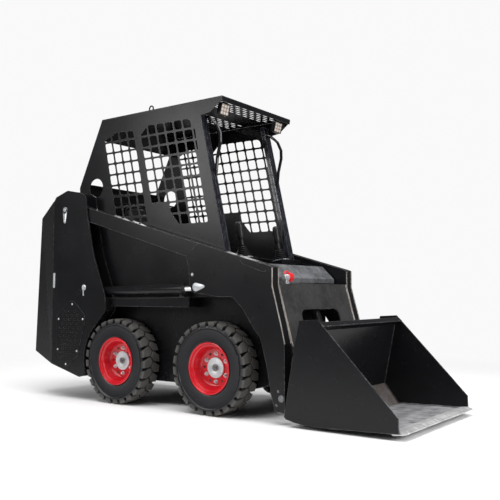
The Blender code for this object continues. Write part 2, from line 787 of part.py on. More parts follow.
def cab_floor():
    """The foot well and the seat platform, one bent sheet between the sides of the tub."""
    half = TUB_HALF_WIDTH - TUB_SHEET - TOUCH
    front = TUB_FRONT - TUB_SHEET - 0.0005
    path = [
        (-0.275, SEAT_DECK),
        (0.480, SEAT_DECK),
        (0.560, FOOT_WELL_FLOOR),
        (front, FOOT_WELL_FLOOR),
        (front, DECK_HEIGHT - 0.035),
    ]
    floor = side_plate(strip(path, DECK_SHEET), -half, half)
    piece(floor, "cab_floor", BLACK_PAINT, MACHINE)


def front_cover():
    """The sloping guard over the front of the foot well, behind the arms' cross member."""
    profile = [
        (-0.006, DECK_HEIGHT + 0.0006),
        (-0.004, 0.800),
        (0.032, 0.828),
        (0.032, 0.856),
        (-0.060, 0.945),
        (-0.105, 0.945),
    ]
    path = [(TUB_FRONT + x, z) for x, z in profile]
    cover = side_plate(strip(path, DECK_SHEET), -CAB_INSIDE, CAB_INSIDE)
    piece(cover, "front_cover", STEEL, MACHINE)


def seat():
    """The operator's seat on its platform."""
    base = SEAT_DECK + DECK_SHEET + TOUCH
    cushion = box((-0.062, -0.230, base), (0.400, 0.230, base + 0.110), bevel=0.030)
    piece(cushion, "seat_cushion", VINYL, MACHINE)
    back = box((-0.055, -0.220, 0.0), (0.055, 0.220, 0.460), bevel=0.030)
    back.location = (-0.180, 0, 1.190)
    back.rotation_euler = (0, -0.22, 0)
    weld(back, box((-0.200, -0.030, base), (-0.110, 0.030, base + 0.110)))
    piece(back, "seat_back", VINYL, MACHINE)


def consoles():
    """The armrest consoles beside the seat and the two control levers on them."""
    rise = math.tan(CONSOLE_LEAN)
    shelf_top = 0.985
    shelf = [
        (0.820, shelf_top - 0.040),
        (0.960, shelf_top - 0.020),
        (0.960, shelf_top + 0.060 * rise),
        (0.820, shelf_top - 0.080 * rise),
    ]
    for name, side in SIDES:
        outline = [
            (0.100, DECK_HEIGHT + 0.001),
            (0.940, DECK_HEIGHT + 0.001),
            (0.945, POST_SEAT - TOUCH),
            (0.800, POST_SEAT - TOUCH),
            (0.180, 1.090),
            (0.100, 1.080),
        ]
        console = side_plate(outline, TUB_HALF_WIDTH, CAB_INSIDE, side)
        weld(console, side_plate(shelf, 0.150, TUB_HALF_WIDTH + 0.005, side))
        piece(console, f"console_{name}", BLACK_PAINT, MACHINE)
        lever = turned(
            [
                (0, 0.250),
                (0.012, 0.248),
                (0.019, 0.238),
                (0.020, 0.190),
                (0.014, 0.165),
                (0.009, 0.155),
                (0.009, 0.100),
                (0.016, 0.085),
                (0.030, 0.040),
                (0.042, 0.012),
                (0.046, 0.0),
                (0, 0.0),
            ],
            14,
        )
        lever.location = (0.900, side * 0.215, shelf_top + TOUCH / math.cos(CONSOLE_LEAN))
        lever.rotation_euler = (0, -CONSOLE_LEAN, 0)
        piece(lever, f"joystick_{name}", RUBBER, MACHINE)


def work_lights():
    """The square lamps under the front edge of the roof."""
    for name, side in SIDES:
        lamp = box((-0.022, -0.046, -0.038), (0.022, 0.046, 0.038), bevel=0.006)
        middle = side * (CAB_HALF_WIDTH - LAMP_INSET)
        lamp.location = (0.792, middle, 1.962)
        lamp.rotation_euler = (0, LAMP_TILT, 0)
        bracket_top = ROOF_HEIGHT - ROOF_SHEET - 0.0005
        bracket = box((0.775, middle - 0.012, 1.990), (0.797, middle + 0.012, bracket_top))
        weld(lamp, bracket)
        piece(lamp, f"work_light_{name}", LAMP, MACHINE)


# ---------------------------------------------------------------- lift arms
def arm_outline():
    """One lift arm from its pivot eye along the beam and down the knee to the bucket pin."""
    beam = arc(LIFT_PIVOT, LIFT_EYE_RADIUS, 60, 268, 14) + [(-0.400, 1.300), (-0.246, 1.262)]
    knee = [
        (-0.187, 0.997),
        (-0.163, 0.910),
        (-0.158, 0.824),
        (-0.140, 0.767),
        (0.078, 0.737),
        (0.187, 0.737),
        (0.262, 0.670),
        (0.355, 0.538),
        (0.396, 0.495),
        (0.439, 0.339),
        (0.474, 0.159),
        (0.500, 0.073),
        (0.566, 0.071),
        (0.565, 0.463),
        (0.538, 0.575),
        (0.477, 0.798),
        (0.477, 0.914),
        (0.455, 0.922),
        (-0.094, 1.078),
    ]
    return beam + ahead(knee)


def lift_arms():
    """The two arms, each bored for its pivot pin and open inside the knee for the rod's eye."""
    pocket = ARM_POCKET / 2
    slot_low, slot_high = ahead([(-0.230, 0.680), (0.040, 0.955)])
    for name, side in SIDES:
        arm = side_plate(arm_outline(), ARM_INNER, ARM_OUTER, side)
        eye = cylinder((LIFT_PIVOT[0], side * ARM_MIDDLE, LIFT_PIVOT[1]), LIFT_PIN_RADIUS + RUNNING, 0.2)
        middle = side * ARM_MIDDLE
        slot = box((slot_low[0], middle - pocket, slot_low[1]), (slot_high[0], middle + pocket, slot_high[1]))
        cut(arm, eye, slot)
        stub_end = ARM_INNER - 0.026
        stub_start = ARM_INNER + 0.010
        pin = cylinder(
            (BUCKET_PIVOT[0], side * (stub_end + stub_start) / 2, BUCKET_PIVOT[1]),
            BUCKET_PIN_RADIUS,
            stub_start - stub_end,
        )
        weld(arm, pin)
        piece(arm, f"lift_arm_{name}", BLACK_PAINT, ARMS)


def cross_member():
    """The bridge between the knees: a leaning plate with a doorway, and the tilt cylinder's lugs."""
    half = ARM_INNER - TOUCH
    height, door, bend = CROSS_HEIGHT, DOORWAY_HALF_WIDTH, DOORWAY_ROUNDING
    crown = height - DOORWAY_ABOVE
    outline = [(-half, 0), (-half, height), (half, height), (half, 0), (door, 0)]
    outline += arc((door - bend, crown - bend), bend, 0, 90, 4)
    outline += arc((-door + bend, crown - bend), bend, 90, 180, 4)
    outline += [(-door, 0)]
    along_plate = Vector((math.sin(CROSS_LEAN), 0, -math.cos(CROSS_LEAN)))
    foot = Vector((CROSS_TOP[0], 0, CROSS_TOP[1])) + height * along_plate
    plate = leaning_plate(outline, CROSS_PLATE, foot, CROSS_LEAN)
    base_x, base_z = TILT_CYLINDER_BASE
    lug_outline = [
        (base_x - 0.026, base_z + 0.030),
        (base_x - 0.026, base_z - 0.026),
        (base_x + 0.022, base_z - 0.026),
        (base_x + 0.067, base_z - 0.053),
        (base_x + 0.047, base_z + 0.025),
    ]
    for side in (1, -1):
        weld(plate, side_plate(lug_outline, LUG_GAP, LUG_GAP + LUG_PLATE, side))
    pin = cylinder((base_x, 0, base_z), TILT_BASE_PIN_RADIUS, 2 * LUG_GAP + 0.020)
    weld(plate, pin)
    piece(plate, "cross_member", STEEL, ARMS)


def hydraulic_coupler():
    """The capped quick coupler on the right-hand end of the cross member."""
    station, height = WHEELBASE + 0.462, 0.856
    body = cylinder((station, -0.305, height), 0.020, 0.080, "Y", 16)
    weld(body, cylinder((station, -0.275, height), 0.028, 0.036, "Y", 16))
    foot = box((station - 0.001, -0.325, CROSS_TOP[1] + 0.0017), (station + 0.011, -0.300, height - 0.006))
    weld(body, foot)
    piece(body, "hydraulic_coupler", RED_PAINT, ARMS)


# ---------------------------------------------------------------- cylinders
def along(start, end):
    """The length between two pins and the tilt that lays a Z-long shape from one to the other."""
    run, rise = end[0] - start[0], end[1] - start[1]
    return math.hypot(run, rise), math.atan2(run, rise)


def laid(obj, pin, offset, tilt, distance=0.0):
    """Lays a shape made along Z with its foot on a pin along the line of its cylinder."""
    obj.rotation_euler = (0, tilt, 0)
    way = Vector((math.sin(tilt), 0, math.cos(tilt)))
    obj.location = Vector((pin[0], offset, pin[1])) + way * distance
    return obj


def hydraulic_cylinder(name, start, end, offset, group, sizes):
    """A barrel on its foot pin and a rod that slides in it, with an eye at the rod's end."""
    barrel_radius, rod_shown, rod_radius, inward, foot_pin, eye_radius, eye_width = sizes
    length, tilt = along(start, end)
    barrel_length = length - rod_shown
    swing = Group(f"{name}_barrel_swing", (start[0], offset, start[1]), group)
    bore = rod_radius + RUNNING
    base = foot_pin + 0.006
    bore_end = base + 0.020
    barrel = turned(
        [
            (0.0, bore_end),
            (bore, bore_end),
            (bore, barrel_length),
            (barrel_radius, barrel_length),
            (barrel_radius, base),
            (0.0, base),
        ],
        28,
    )
    laid(barrel, start, offset, tilt)
    eye = cylinder((start[0], offset, start[1]), foot_pin + 0.014, eye_width, "Y", 28)
    hole = cylinder((start[0], offset, start[1]), foot_pin + RUNNING, 3 * eye_width, "Y", 32)
    weld(barrel, eye)
    cut(barrel, hole)
    piece(barrel, f"{name}_barrel", BLACK_PAINT, swing)
    travel = Group(f"{name}_rod_slide", (end[0], offset, end[1]), swing)
    rod_start = bore_end + inward
    rod_length = length - rod_start
    rod = cylinder((0, 0, 0), rod_radius, rod_length, "Z", 24)
    laid(rod, start, offset, tilt, rod_start + rod_length / 2)
    knuckle = cylinder((end[0], offset, end[1]), eye_radius, eye_width, "Y", 28)
    weld(rod, knuckle)
    piece(rod, f"{name}_rod", CHROME, travel)


def cylinders():
    lift = (
        LIFT_BARREL_RADIUS,
        LIFT_ROD_SHOWN,
        LIFT_ROD_RADIUS,
        LIFT_ROD_INWARD,
        LIFT_BASE_PIN_RADIUS,
        0.030,
        ARM_POCKET - 2 * SWING,
    )
    for name, side in SIDES:
        hydraulic_cylinder(
            f"lift_cylinder_{name}", LIFT_CYLINDER_BASE, ROD_PIN, side * ARM_MIDDLE, MACHINE, lift
        )
    tilt = (
        TILT_BARREL_RADIUS,
        TILT_ROD_SHOWN,
        TILT_ROD_RADIUS,
        TILT_ROD_INWARD,
        TILT_BASE_PIN_RADIUS,
        0.026,
        2 * (LUG_GAP - SWING) - 0.001,
    )
    hydraulic_cylinder("tilt_cylinder", TILT_CYLINDER_BASE, TILT_EYE, 0.0, ARMS, tilt)


# ---------------------------------------------------------------- bucket
def bucket():
    """The bucket: one bent sheet for floor and back, two side plates, and the ears behind it."""
    side_outline = [
        (0.578, 0.056),
        (0.590, 0.044),
        (0.644, 0.032),
        (0.703, 0.023),
        (0.789, 0.019),
        (1.217, 0.033),
        (1.281, 0.036),
        (1.278, 0.117),
        (0.803, 0.612),
        (0.683, 0.605),
        (0.653, 0.477),
        (0.613, 0.256),
        (0.582, 0.080),
    ]
    sheet_path = [
        (1.230, 0.0385),
        (0.810, 0.0285),
        (0.707, 0.155),
        (0.787, 0.548),
        (0.818, 0.59),
        (0.838, 0.572),
    ]
    brace_path = [(0.608, 0.0744), (0.810, 0.0215)]
    half = BUCKET_HALF_WIDTH
    sheet_half = half - BUCKET_SIDE / 2
    shell = side_plate(strip(ahead(sheet_path), BUCKET_SHEET), -sheet_half, sheet_half)
    for side in (1, -1):
        weld(shell, side_plate(ahead(side_outline), half - BUCKET_SIDE, half, side))
    weld(shell, side_plate(strip(ahead(brace_path), BUCKET_SHEET), -sheet_half, sheet_half))

    def sunk(a, b, share):
        """A place between two points of the bent sheet, sunk to the middle of its thickness."""
        return (a[0] + share * (b[0] - a[0]) - BUCKET_SHEET / 2, a[1] + share * (b[1] - a[1]))

    slope, knee, back = ahead(sheet_path)[1:4]
    pin_x, pin_z = BUCKET_PIVOT
    arm_ear = [
        (pin_x - 0.034, pin_z + 0.020),
        (pin_x - 0.034, pin_z - 0.024),
        (pin_x - 0.010, pin_z - 0.046),
        (pin_x + 0.058, pin_z - 0.066),
        (pin_x + 0.188, pin_z - 0.102),
        sunk(slope, knee, 0.72),
        sunk(knee, back, 0.0),
        sunk(knee, back, 0.37),
        (pin_x + 0.168, pin_z + 0.178),
        (pin_x + 0.098, pin_z + 0.078),
        (pin_x + 0.010, pin_z + 0.044),
        (pin_x - 0.016, pin_z + 0.040),
    ]
    ear_outer = ARM_INNER - SWING
    for side in (1, -1):
        weld(shell, side_plate(arm_ear, ear_outer - EAR_PLATE, ear_outer, side))
    cut(shell, cylinder((pin_x, 0, pin_z), BUCKET_PIN_RADIUS + RUNNING, 2 * ARM_INNER))
    eye_x, eye_z = TILT_EYE
    rod_ear = [
        (eye_x - 0.030, eye_z + 0.018),
        (eye_x - 0.030, eye_z - 0.018),
        (eye_x + 0.010, eye_z - 0.040),
        sunk(knee, back, 0.13),
        sunk(knee, back, 0.57),
        (eye_x + 0.010, eye_z + 0.036),
    ]
    for side in (1, -1):
        weld(shell, side_plate(rod_ear, LUG_GAP, LUG_GAP + LUG_PLATE, side))
    piece(shell, "bucket_shell", BLACK_PAINT, BUCKET)
    lip = LIP_STATION
    edge_outline = [
        (lip - 0.0825, 0.0445),
        (lip - 0.0825, 0.0325),
        (lip - 0.068, 0.024),
        (lip, 0.034),
        (lip, 0.039),
        (lip - 0.033, 0.049),
    ]
    inside = half - BUCKET_SIDE - TOUCH
    edge = side_plate(edge_outline, -inside, inside)
    piece(edge, "cutting_edge", STEEL, BUCKET)


# ---------------------------------------------------------------- the machine
for wheel_side, wheel_sign in SIDES:
    wheel(f"front_{wheel_side}", WHEELBASE, wheel_sign)
    wheel(f"rear_{wheel_side}", 0.0, wheel_sign)
axle("front", WHEELBASE)
axle("rear", 0.0)
chassis_tub()
fenders()
towers()
engine_block()
engine_hood()
vent_covers()
rear_door()
cab_sides()
cab_roof()
cab_rear_panel()
front_posts()
cab_floor()
front_cover()
seat()
consoles()
work_lights()
lift_arms()
cross_member()
hydraulic_coupler()
cylinders()
bucket()
bpy.context.view_layer.update()
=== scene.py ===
# %% [markdown]
# # A compact skid steer loader
#
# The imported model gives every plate, pin and axis in metres. This lesson leaves that frame as it
# is and adds what makes it look real: tread, punched screens, lamps, bolts, weld beads, a padded
# seat, and paint, rubber and steel that are painted by formulas instead of pictures.

# %% The frame
import math

import bmesh
import bpy
import numpy as np
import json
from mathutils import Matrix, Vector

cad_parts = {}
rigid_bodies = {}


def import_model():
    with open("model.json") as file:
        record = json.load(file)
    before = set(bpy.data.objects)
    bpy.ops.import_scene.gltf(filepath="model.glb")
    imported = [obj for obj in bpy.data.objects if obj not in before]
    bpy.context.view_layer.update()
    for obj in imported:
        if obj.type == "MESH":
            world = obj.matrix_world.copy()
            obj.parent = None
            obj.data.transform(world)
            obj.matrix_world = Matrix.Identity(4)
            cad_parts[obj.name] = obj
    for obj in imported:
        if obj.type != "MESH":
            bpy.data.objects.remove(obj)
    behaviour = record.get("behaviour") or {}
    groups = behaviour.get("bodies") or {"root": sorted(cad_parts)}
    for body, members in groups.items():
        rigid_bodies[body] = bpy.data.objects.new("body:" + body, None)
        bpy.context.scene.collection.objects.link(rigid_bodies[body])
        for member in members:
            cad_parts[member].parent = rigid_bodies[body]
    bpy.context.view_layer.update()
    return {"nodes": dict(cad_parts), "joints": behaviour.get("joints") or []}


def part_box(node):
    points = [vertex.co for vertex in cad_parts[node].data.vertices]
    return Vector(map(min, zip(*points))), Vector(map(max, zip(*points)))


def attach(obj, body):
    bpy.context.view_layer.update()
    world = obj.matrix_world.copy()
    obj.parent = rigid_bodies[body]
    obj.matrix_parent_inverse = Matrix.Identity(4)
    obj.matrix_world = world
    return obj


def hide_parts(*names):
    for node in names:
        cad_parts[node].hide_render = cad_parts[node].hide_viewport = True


for left_over in list(bpy.data.objects):
    bpy.data.objects.remove(left_over, do_unlink=True)
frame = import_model()
NODES = frame["nodes"]
JOINTS = {joint["name"]: joint for joint in frame["joints"]}
REAR_AXLE = np.array(JOINTS["wheel_rear_right_spin"]["pos_m"])
BUCKET_PIVOT = np.array(JOINTS["bucket_tilt"]["pos_m"])
SIDES = (("left", 1), ("right", -1))


def at(station):
    """World X of a place measured forward from the rear axle."""
    return REAR_AXLE[0] + station


# %% [markdown]
# ## Camera, floor and light
#
# The machine is seen from its front right corner, from about the height of a knee, with a long
# lens so that its upright edges stay upright. Black paint only shows its shape through what it
# reflects, so the light comes from a few very large soft panels. The room looks white to the camera
# but is dim in reflections, because a white room mirrored in black enamel turns it grey.

# %% Camera
YAW = 0.629
PITCH = 0.061
camera_data = bpy.data.cameras.new("camera")
camera_data.lens = 51.75
camera_data.sensor_width = 36.0
camera = bpy.data.objects.new("camera", camera_data)
camera.location = (at(3.686), -3.978, 0.755)
camera.rotation_euler = (math.pi / 2 + PITCH, 0, YAW)
bpy.context.scene.collection.objects.link(camera)
bpy.context.scene.camera = camera


# %% Light and floor
def soft_panel(name, place, target, width, height, watts, colour=(1, 1, 1)):
    """A large area lamp that faces a target point."""
    lamp = bpy.data.lights.new(name, "AREA")
    lamp.shape = "RECTANGLE"
    lamp.size, lamp.size_y = width, height
    lamp.energy = watts
    lamp.color = colour
    holder = bpy.data.objects.new(name, lamp)
    holder.location = place
    way = np.array(target, float) - np.array(place, float)
    level = math.hypot(way[0], way[1])
    holder.rotation_euler = (math.atan2(level, -way[2]), 0, math.atan2(-way[0], way[1]))
    bpy.context.scene.collection.objects.link(holder)
    return holder


soft_panel("sky_panel", (0.6, -0.8, 5.0), (0.2, 0.0, 0.0), 6.0, 5.0, 420)
soft_panel("front_panel", (5.2, -0.6, 2.4), (0.9, 0.0, 0.6), 2.6, 2.2, 120)
soft_panel("side_panel", (-3.6, -5.6, 2.8), (-0.2, 0.0, 0.9), 2.4, 2.0, 110)
soft_panel("back_panel", (-4.0, 4.0, 3.0), (0.0, 0.0, 1.0), 3.0, 3.0, 130)


# %% The pale room
ROOM_WHITE = 0.95
ROOM_GLOW = 0.13
FLOOR_MIRRORED = 0.30
FLOOR_REACH = 30.0
FADE_START, FADE_END = 1.7, 4.6
bpy.context.scene.view_settings.view_transform = "Standard"


def seen_by_camera(nodes, links, elsewhere):
    """A strength that is white for what the camera sees straight on, and lower for the rest."""
    choice = nodes.new("ShaderNodeMix")
    choice.data_type = "FLOAT"
    choice.inputs[2].default_value = elsewhere
    choice.inputs[3].default_value = ROOM_WHITE
    links.new(nodes.new("ShaderNodeLightPath").outputs["Is Camera Ray"], choice.inputs[0])
    return choice.outputs[0]


def lit_room():
    """White where the camera looks past the machine, but dimmer where the paint mirrors it."""
    room = bpy.data.worlds.new("room")
    room.use_nodes = True
    nodes, links = room.node_tree.nodes, room.node_tree.links
    links.new(seen_by_camera(nodes, links, ROOM_GLOW), nodes["Background"].inputs["Strength"])
    nodes["Background"].inputs["Color"].default_value = (1, 1, 1, 1)
    bpy.context.scene.world = room


def floor_finish():
    """Matt white that turns into the white of the room farther out, so that no horizon shows."""
    made = bpy.data.materials.new("floor_paint")
    made.use_nodes = True
    nodes, links = made.node_tree.nodes, made.node_tree.links
    shader = nodes["Principled BSDF"]
    shader.inputs["Base Color"].default_value = (0.90, 0.90, 0.90, 1)
    shader.inputs["Roughness"].default_value = 0.95
    shader.inputs["Specular IOR Level"].default_value = 0.1
    glow = nodes.new("ShaderNodeEmission")
    links.new(seen_by_camera(nodes, links, FLOOR_MIRRORED), glow.inputs["Strength"])
    place = nodes.new("ShaderNodeTexCoord").outputs["Object"]
    distance = nodes.new("ShaderNodeVectorMath")
    distance.operation = "LENGTH"
    links.new(place, distance.inputs[0])
    fade = nodes.new("ShaderNodeMapRange")
    fade.interpolation_type = "SMOOTHSTEP"
    fade.inputs["From Min"].default_value = FADE_START
    fade.inputs["From Max"].default_value = FADE_END
    links.new(distance.outputs["Value"], fade.inputs["Value"])
    mixed = nodes.new("ShaderNodeMixShader")
    links.new(fade.outputs[0], mixed.inputs[0])
    links.new(shader.outputs[0], mixed.inputs[1])
    links.new(glow.outputs[0], mixed.inputs[2])
    links.new(mixed.outputs[0], nodes["Material Output"].inputs["Surface"])
    return made


lit_room()
floor_mesh = bpy.data.meshes.new("floor")
floor_corners = FLOOR_REACH * np.array([[-1, -1, 0], [1, -1, 0], [1, 1, 0], [-1, 1, 0]], float)
floor_mesh.from_pydata(floor_corners.tolist(), [], [[0, 1, 2, 3]])
floor = bpy.data.objects.new("floor", floor_mesh)
bpy.context.scene.collection.objects.link(floor)
floor_mesh.materials.append(floor_finish())

# %% [markdown]
# ## Making surfaces from numbers
#
# Most pieces of a machine are simple to say in words: a profile carried round an axis, a section
# carried along a path, a plate with holes. Each helper below works out all its points as one
# array, and returns a *shape*: its points and its faces. Shapes are then copied, moved and joined
# as arrays too, and only at the end does a mesh get made.


# %% Shape helpers
def grid_faces(rows, columns, wrap_rows=False, wrap_columns=False):
    """Quads between neighbouring points of a rows by columns grid, closed round where wrapped."""
    i, j = np.meshgrid(
        np.arange(rows if wrap_rows else rows - 1),
        np.arange(columns if wrap_columns else columns - 1),
        indexing="ij",
    )
    next_i, next_j = (i + 1) % rows, (j + 1) % columns
    corners = [i * columns + j, i * columns + next_j, next_i * columns + next_j, next_i * columns + j]
    return np.stack(corners, -1).reshape(-1, 4).tolist()


def surface(points, wrap_rows=False, wrap_columns=False, capped=False):
    """A shape from a grid of points; capped closes the first and the last row with a face each."""
    rows, columns = points.shape[:2]
    faces = grid_faces(rows, columns, wrap_rows, wrap_columns)
    if capped:
        faces += [list(range(columns))[::-1], list(range((rows - 1) * columns, rows * columns))]
    return points.reshape(-1, 3), faces


def joined(*shapes):
    """Several shapes as one: the points follow each other and each face list is moved up."""
    starts = np.cumsum([0] + [len(points) for points, _ in shapes])
    faces = [
        [index + int(start) for index in face]
        for start, (_, part) in zip(starts, shapes)
        for face in part
    ]
    return np.concatenate([points for points, _ in shapes]), faces


def moved(shape, matrix):
    """The shape after a 4 by 4 matrix."""
    points, faces = shape
    matrix = np.asarray(matrix, float)
    return points @ matrix[:3, :3].T + matrix[:3, 3], faces


def repeated(shape, matrices):
    """One copy of the shape for each 4 by 4 matrix, all joined."""
    return joined(*[moved(shape, matrix) for matrix in matrices])


def facing(place, outward, along=(0, 0, 1)):
    """The matrix that sets a shape's Z along outward and its X close to along, at a place."""
    z = np.array(outward, float) / np.linalg.norm(outward)
    x = np.array(along, float) - np.dot(along, z) * z
    if np.linalg.norm(x) < 1e-6:
        x = np.array((1.0, 0, 0)) - z[0] * z
    x /= np.linalg.norm(x)
    matrix = np.eye(4)
    matrix[:3, 0], matrix[:3, 1], matrix[:3, 2], matrix[:3, 3] = x, np.cross(z, x), z, place
    return matrix


def lathe(profile, sides=48, start=0.0):
    """A closed (radius, along) profile carried round Z: x = r cos t, y = r sin t, z = along."""
    profile = np.array(profile, float)
    t = start + np.linspace(0, 2 * math.pi, sides, endpoint=False)
    points = np.empty((len(profile), sides, 3))
    points[..., 0] = profile[:, :1] * np.cos(t)
    points[..., 1] = profile[:, :1] * np.sin(t)
    points[..., 2] = profile[:, 1:]
    return surface(points, wrap_rows=bool(profile[0, 0] > 0), wrap_columns=True)


def smooth_path(points, per_span=6):
    """A Catmull-Rom curve: between two points, the cubic whose slopes look to the next ones."""
    p = np.array(points, float)
    p = np.concatenate([[2 * p[0] - p[1]], p, [2 * p[-1] - p[-2]]])
    t = np.linspace(0, 1, per_span, endpoint=False)[:, None]
    spans = [
        0.5 * (2 * b + (c - a) * t + (2 * a - 5 * b + 4 * c - d) * t**2 + (3 * b - a - 3 * c + d) * t**3)
        for a, b, c, d in zip(p, p[1:], p[2:], p[3:])
    ]
    return np.concatenate(spans + [p[-2:-1]])


def sweep(path, radius, sides=16, ripple=0.0, ripples=0):
    """A round section carried along a path; ripple swells the radius by a sine along the way."""
    path = np.array(path, float)
    way = np.gradient(path, axis=0)
    way /= np.linalg.norm(way, axis=1)[:, None]
    guide = np.array((0.0, 0, 1)) if abs(way[:, 2]).max() < 0.95 else np.array((0.0, 1, 0))
    across = np.cross(way, guide)
    across /= np.linalg.norm(across, axis=1)[:, None]
    up = np.cross(across, way)
    t = np.linspace(0, 2 * math.pi, sides, endpoint=False)
    swell = 1 + ripple * np.sin(np.linspace(0, 2 * math.pi * ripples, len(path)))
    ring = np.cos(t)[None, :, None] * across[:, None] + np.sin(t)[None, :, None] * up[:, None]
    return surface(path[:, None] + radius * swell[:, None, None] * ring, wrap_columns=True, capped=True)


def weld_bead(start, end, radius=0.004, pitch=0.007):
    """A weld along a joint: a bar whose radius ripples once for each drop of metal."""
    start, end = np.array(start, float), np.array(end, float)
    drops = max(2, int(np.linalg.norm(end - start) / pitch))
    path = start + (end - start) * np.linspace(0, 1, 4 * drops + 1)[:, None]
    return sweep(path, radius, 8, 0.16, drops)


def arc(centre, radius, start, end, count=8):
    """Points of an arc, from one angle in degrees to another."""
    t = np.radians(np.linspace(start, end, count))
    return np.stack([centre[0] + radius * np.cos(t), centre[1] + radius * np.sin(t)], -1)


def rounded(outline, radius, steps=4):
    """The outline with each corner cut back by radius and bent round as a quadratic curve."""
    p = np.array(outline, float)
    before, after = np.roll(p, 1, 0) - p, np.roll(p, -1, 0) - p
    length_before = np.linalg.norm(before, axis=1)[:, None]
    length_after = np.linalg.norm(after, axis=1)[:, None]
    a = p + before / length_before * np.minimum(radius, 0.45 * length_before)
    b = p + after / length_after * np.minimum(radius, 0.45 * length_after)
    t = np.linspace(0, 1, steps)[None, :, None]
    return ((1 - t) ** 2 * a[:, None] + 2 * t * (1 - t) * p[:, None] + t**2 * b[:, None]).reshape(-1, 2)


def punched(outline, holes, thickness, soft_edge=0.0):
    """A flat plate in XY with holes, filled by a 2D curve and made a mesh; its back is at z = 0."""
    curve = bpy.data.curves.new("plate", "CURVE")
    curve.dimensions = "2D"
    curve.fill_mode = "BOTH"
    curve.extrude = thickness / 2 - soft_edge
    curve.bevel_depth = soft_edge
    curve.bevel_resolution = 1
    curve.offset = -soft_edge
    for ring in (outline, *holes):
        spline = curve.splines.new("POLY")
        spline.points.add(len(ring) - 1)
        flat = np.zeros((len(ring), 4))
        flat[:, :2] = ring
        flat[:, 3] = 1
        spline.points.foreach_set("co", flat.ravel())
        spline.use_cyclic_u = True
    holder = bpy.data.objects.new("plate", curve)
    bpy.context.scene.collection.objects.link(holder)
    mesh = holder.to_mesh()
    points = np.empty(len(mesh.vertices) * 3)
    mesh.vertices.foreach_get("co", points)
    faces = [list(face.vertices) for face in mesh.polygons]
    holder.to_mesh_clear()
    bpy.data.objects.remove(holder)
    points = points.reshape(-1, 3)
    points[:, 2] += thickness / 2
    return points, faces


def seen_from_side(shape, inner, side):
    """Stands a plate drawn in (station, height) up on the machine's side, growing outwards."""
    points, faces = shape
    stood = np.stack([at(points[:, 0]), side * (inner + points[:, 2]), points[:, 1]], -1)
    return stood, faces


# %% Pieces
def piece(name, shape, finish, body, replaces=(), sharp=35, bevel=0.0, masks=None):
    """Makes the mesh of a shape, closes its seams, turns its faces outwards and hangs it on a body."""
    points, faces = shape
    mesh = bpy.data.meshes.new(name)
    mesh.from_pydata(points.tolist(), [], faces)
    for mask, values in (masks or {}).items():
        mesh.attributes.new(mask, "FLOAT", "POINT").data.foreach_set("value", values)
    work = bmesh.new()
    work.from_mesh(mesh)
    bmesh.ops.remove_doubles(work, verts=work.verts, dist=1e-6)
    bmesh.ops.dissolve_degenerate(work, edges=work.edges, dist=1e-7)
    bmesh.ops.recalc_face_normals(work, faces=work.faces)
    work.to_mesh(mesh)
    work.free()
    mesh.shade_smooth()
    mesh.set_sharp_from_angle(angle=math.radians(sharp))
    obj = bpy.data.objects.new(name, mesh)
    bpy.context.scene.collection.objects.link(obj)
    mesh.materials.append(finish)
    if bevel:
        edge = obj.modifiers.new("softened", "BEVEL")
        edge.width = bevel
        edge.segments = 2
        edge.limit_method = "ANGLE"
        edge.angle_limit = math.radians(40)
    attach(obj, body)
    if replaces:
        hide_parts(*replaces)
    return obj


# %% [markdown]
# ## Finishes
#
# Real paint is never one colour. It has a faint orange peel, it dulls where dust settles and it
# thins on edges until metal shows. These effects are shared by many finishes, so each is a small
# shader group with named inputs, made once and given other values in each material.


# %% Shader helpers
class Graph:
    """Adds nodes to a material or a group, with their inputs given by name or by link."""

    def __init__(self, tree):
        self.tree = tree

    def node(self, kind, inputs=None, **settings):
        made = self.tree.nodes.new(kind)
        for key, value in settings.items():
            setattr(made, key, value)
        for key, value in (inputs or {}).items():
            self.give(made.inputs[key], value)
        return made

    def give(self, socket, value):
        if isinstance(value, bpy.types.NodeSocket):
            self.tree.links.new(value, socket)
        else:
            socket.default_value = value

    def math(self, operation, *values):
        made = self.node("ShaderNodeMath", operation=operation)
        for socket, value in zip(made.inputs, values):
            self.give(socket, value)
        return made.outputs[0]

    def noise(self, vector, scale, detail=3.0, roughness=0.55):
        inputs = {"Vector": vector, "Scale": scale, "Detail": detail, "Roughness": roughness}
        return self.node("ShaderNodeTexNoise", inputs).outputs[0]

    def step(self, value, low, high):
        """0 below low, 1 above high, and a smooth rise between."""
        inputs = {"Value": value, "From Min": low, "From Max": high}
        return self.node("ShaderNodeMapRange", inputs, interpolation_type="SMOOTHSTEP").outputs[0]

    def blend(self, factor, first, second):
        """Mixes two colours by a factor."""
        made = self.node("ShaderNodeMix", data_type="RGBA")
        self.give(made.inputs[0], factor)
        self.give(made.inputs[6], first if isinstance(first, bpy.types.NodeSocket) else (*first, 1))
        self.give(made.inputs[7], second if isinstance(second, bpy.types.NodeSocket) else (*second, 1))
        return made.outputs[2]

    def lerp(self, factor, first, second):
        """Mixes two numbers by a factor."""
        made = self.node("ShaderNodeMix", data_type="FLOAT")
        for socket, value in zip(made.inputs[:1] + made.inputs[2:4], (factor, first, second)):
            self.give(socket, value)
        return made.outputs[0]


def shader_group(name, inputs, outputs):
    """An empty node group with named number inputs and outputs, and its two end nodes."""
    group = bpy.data.node_groups.new(name, "ShaderNodeTree")
    for label, value in inputs.items():
        kind = "NodeSocketVector" if value is None else "NodeSocketFloat"
        socket = group.interface.new_socket(name=label, in_out="INPUT", socket_type=kind)
        if value is not None:
            socket.default_value = value
    for label in outputs:
        group.interface.new_socket(name=label, in_out="OUTPUT", socket_type="NodeSocketFloat")
    graph = Graph(group)
    entry = graph.node("NodeGroupInput")
    leave = graph.node("NodeGroupOutput")
    return group, graph, entry.outputs, leave.inputs


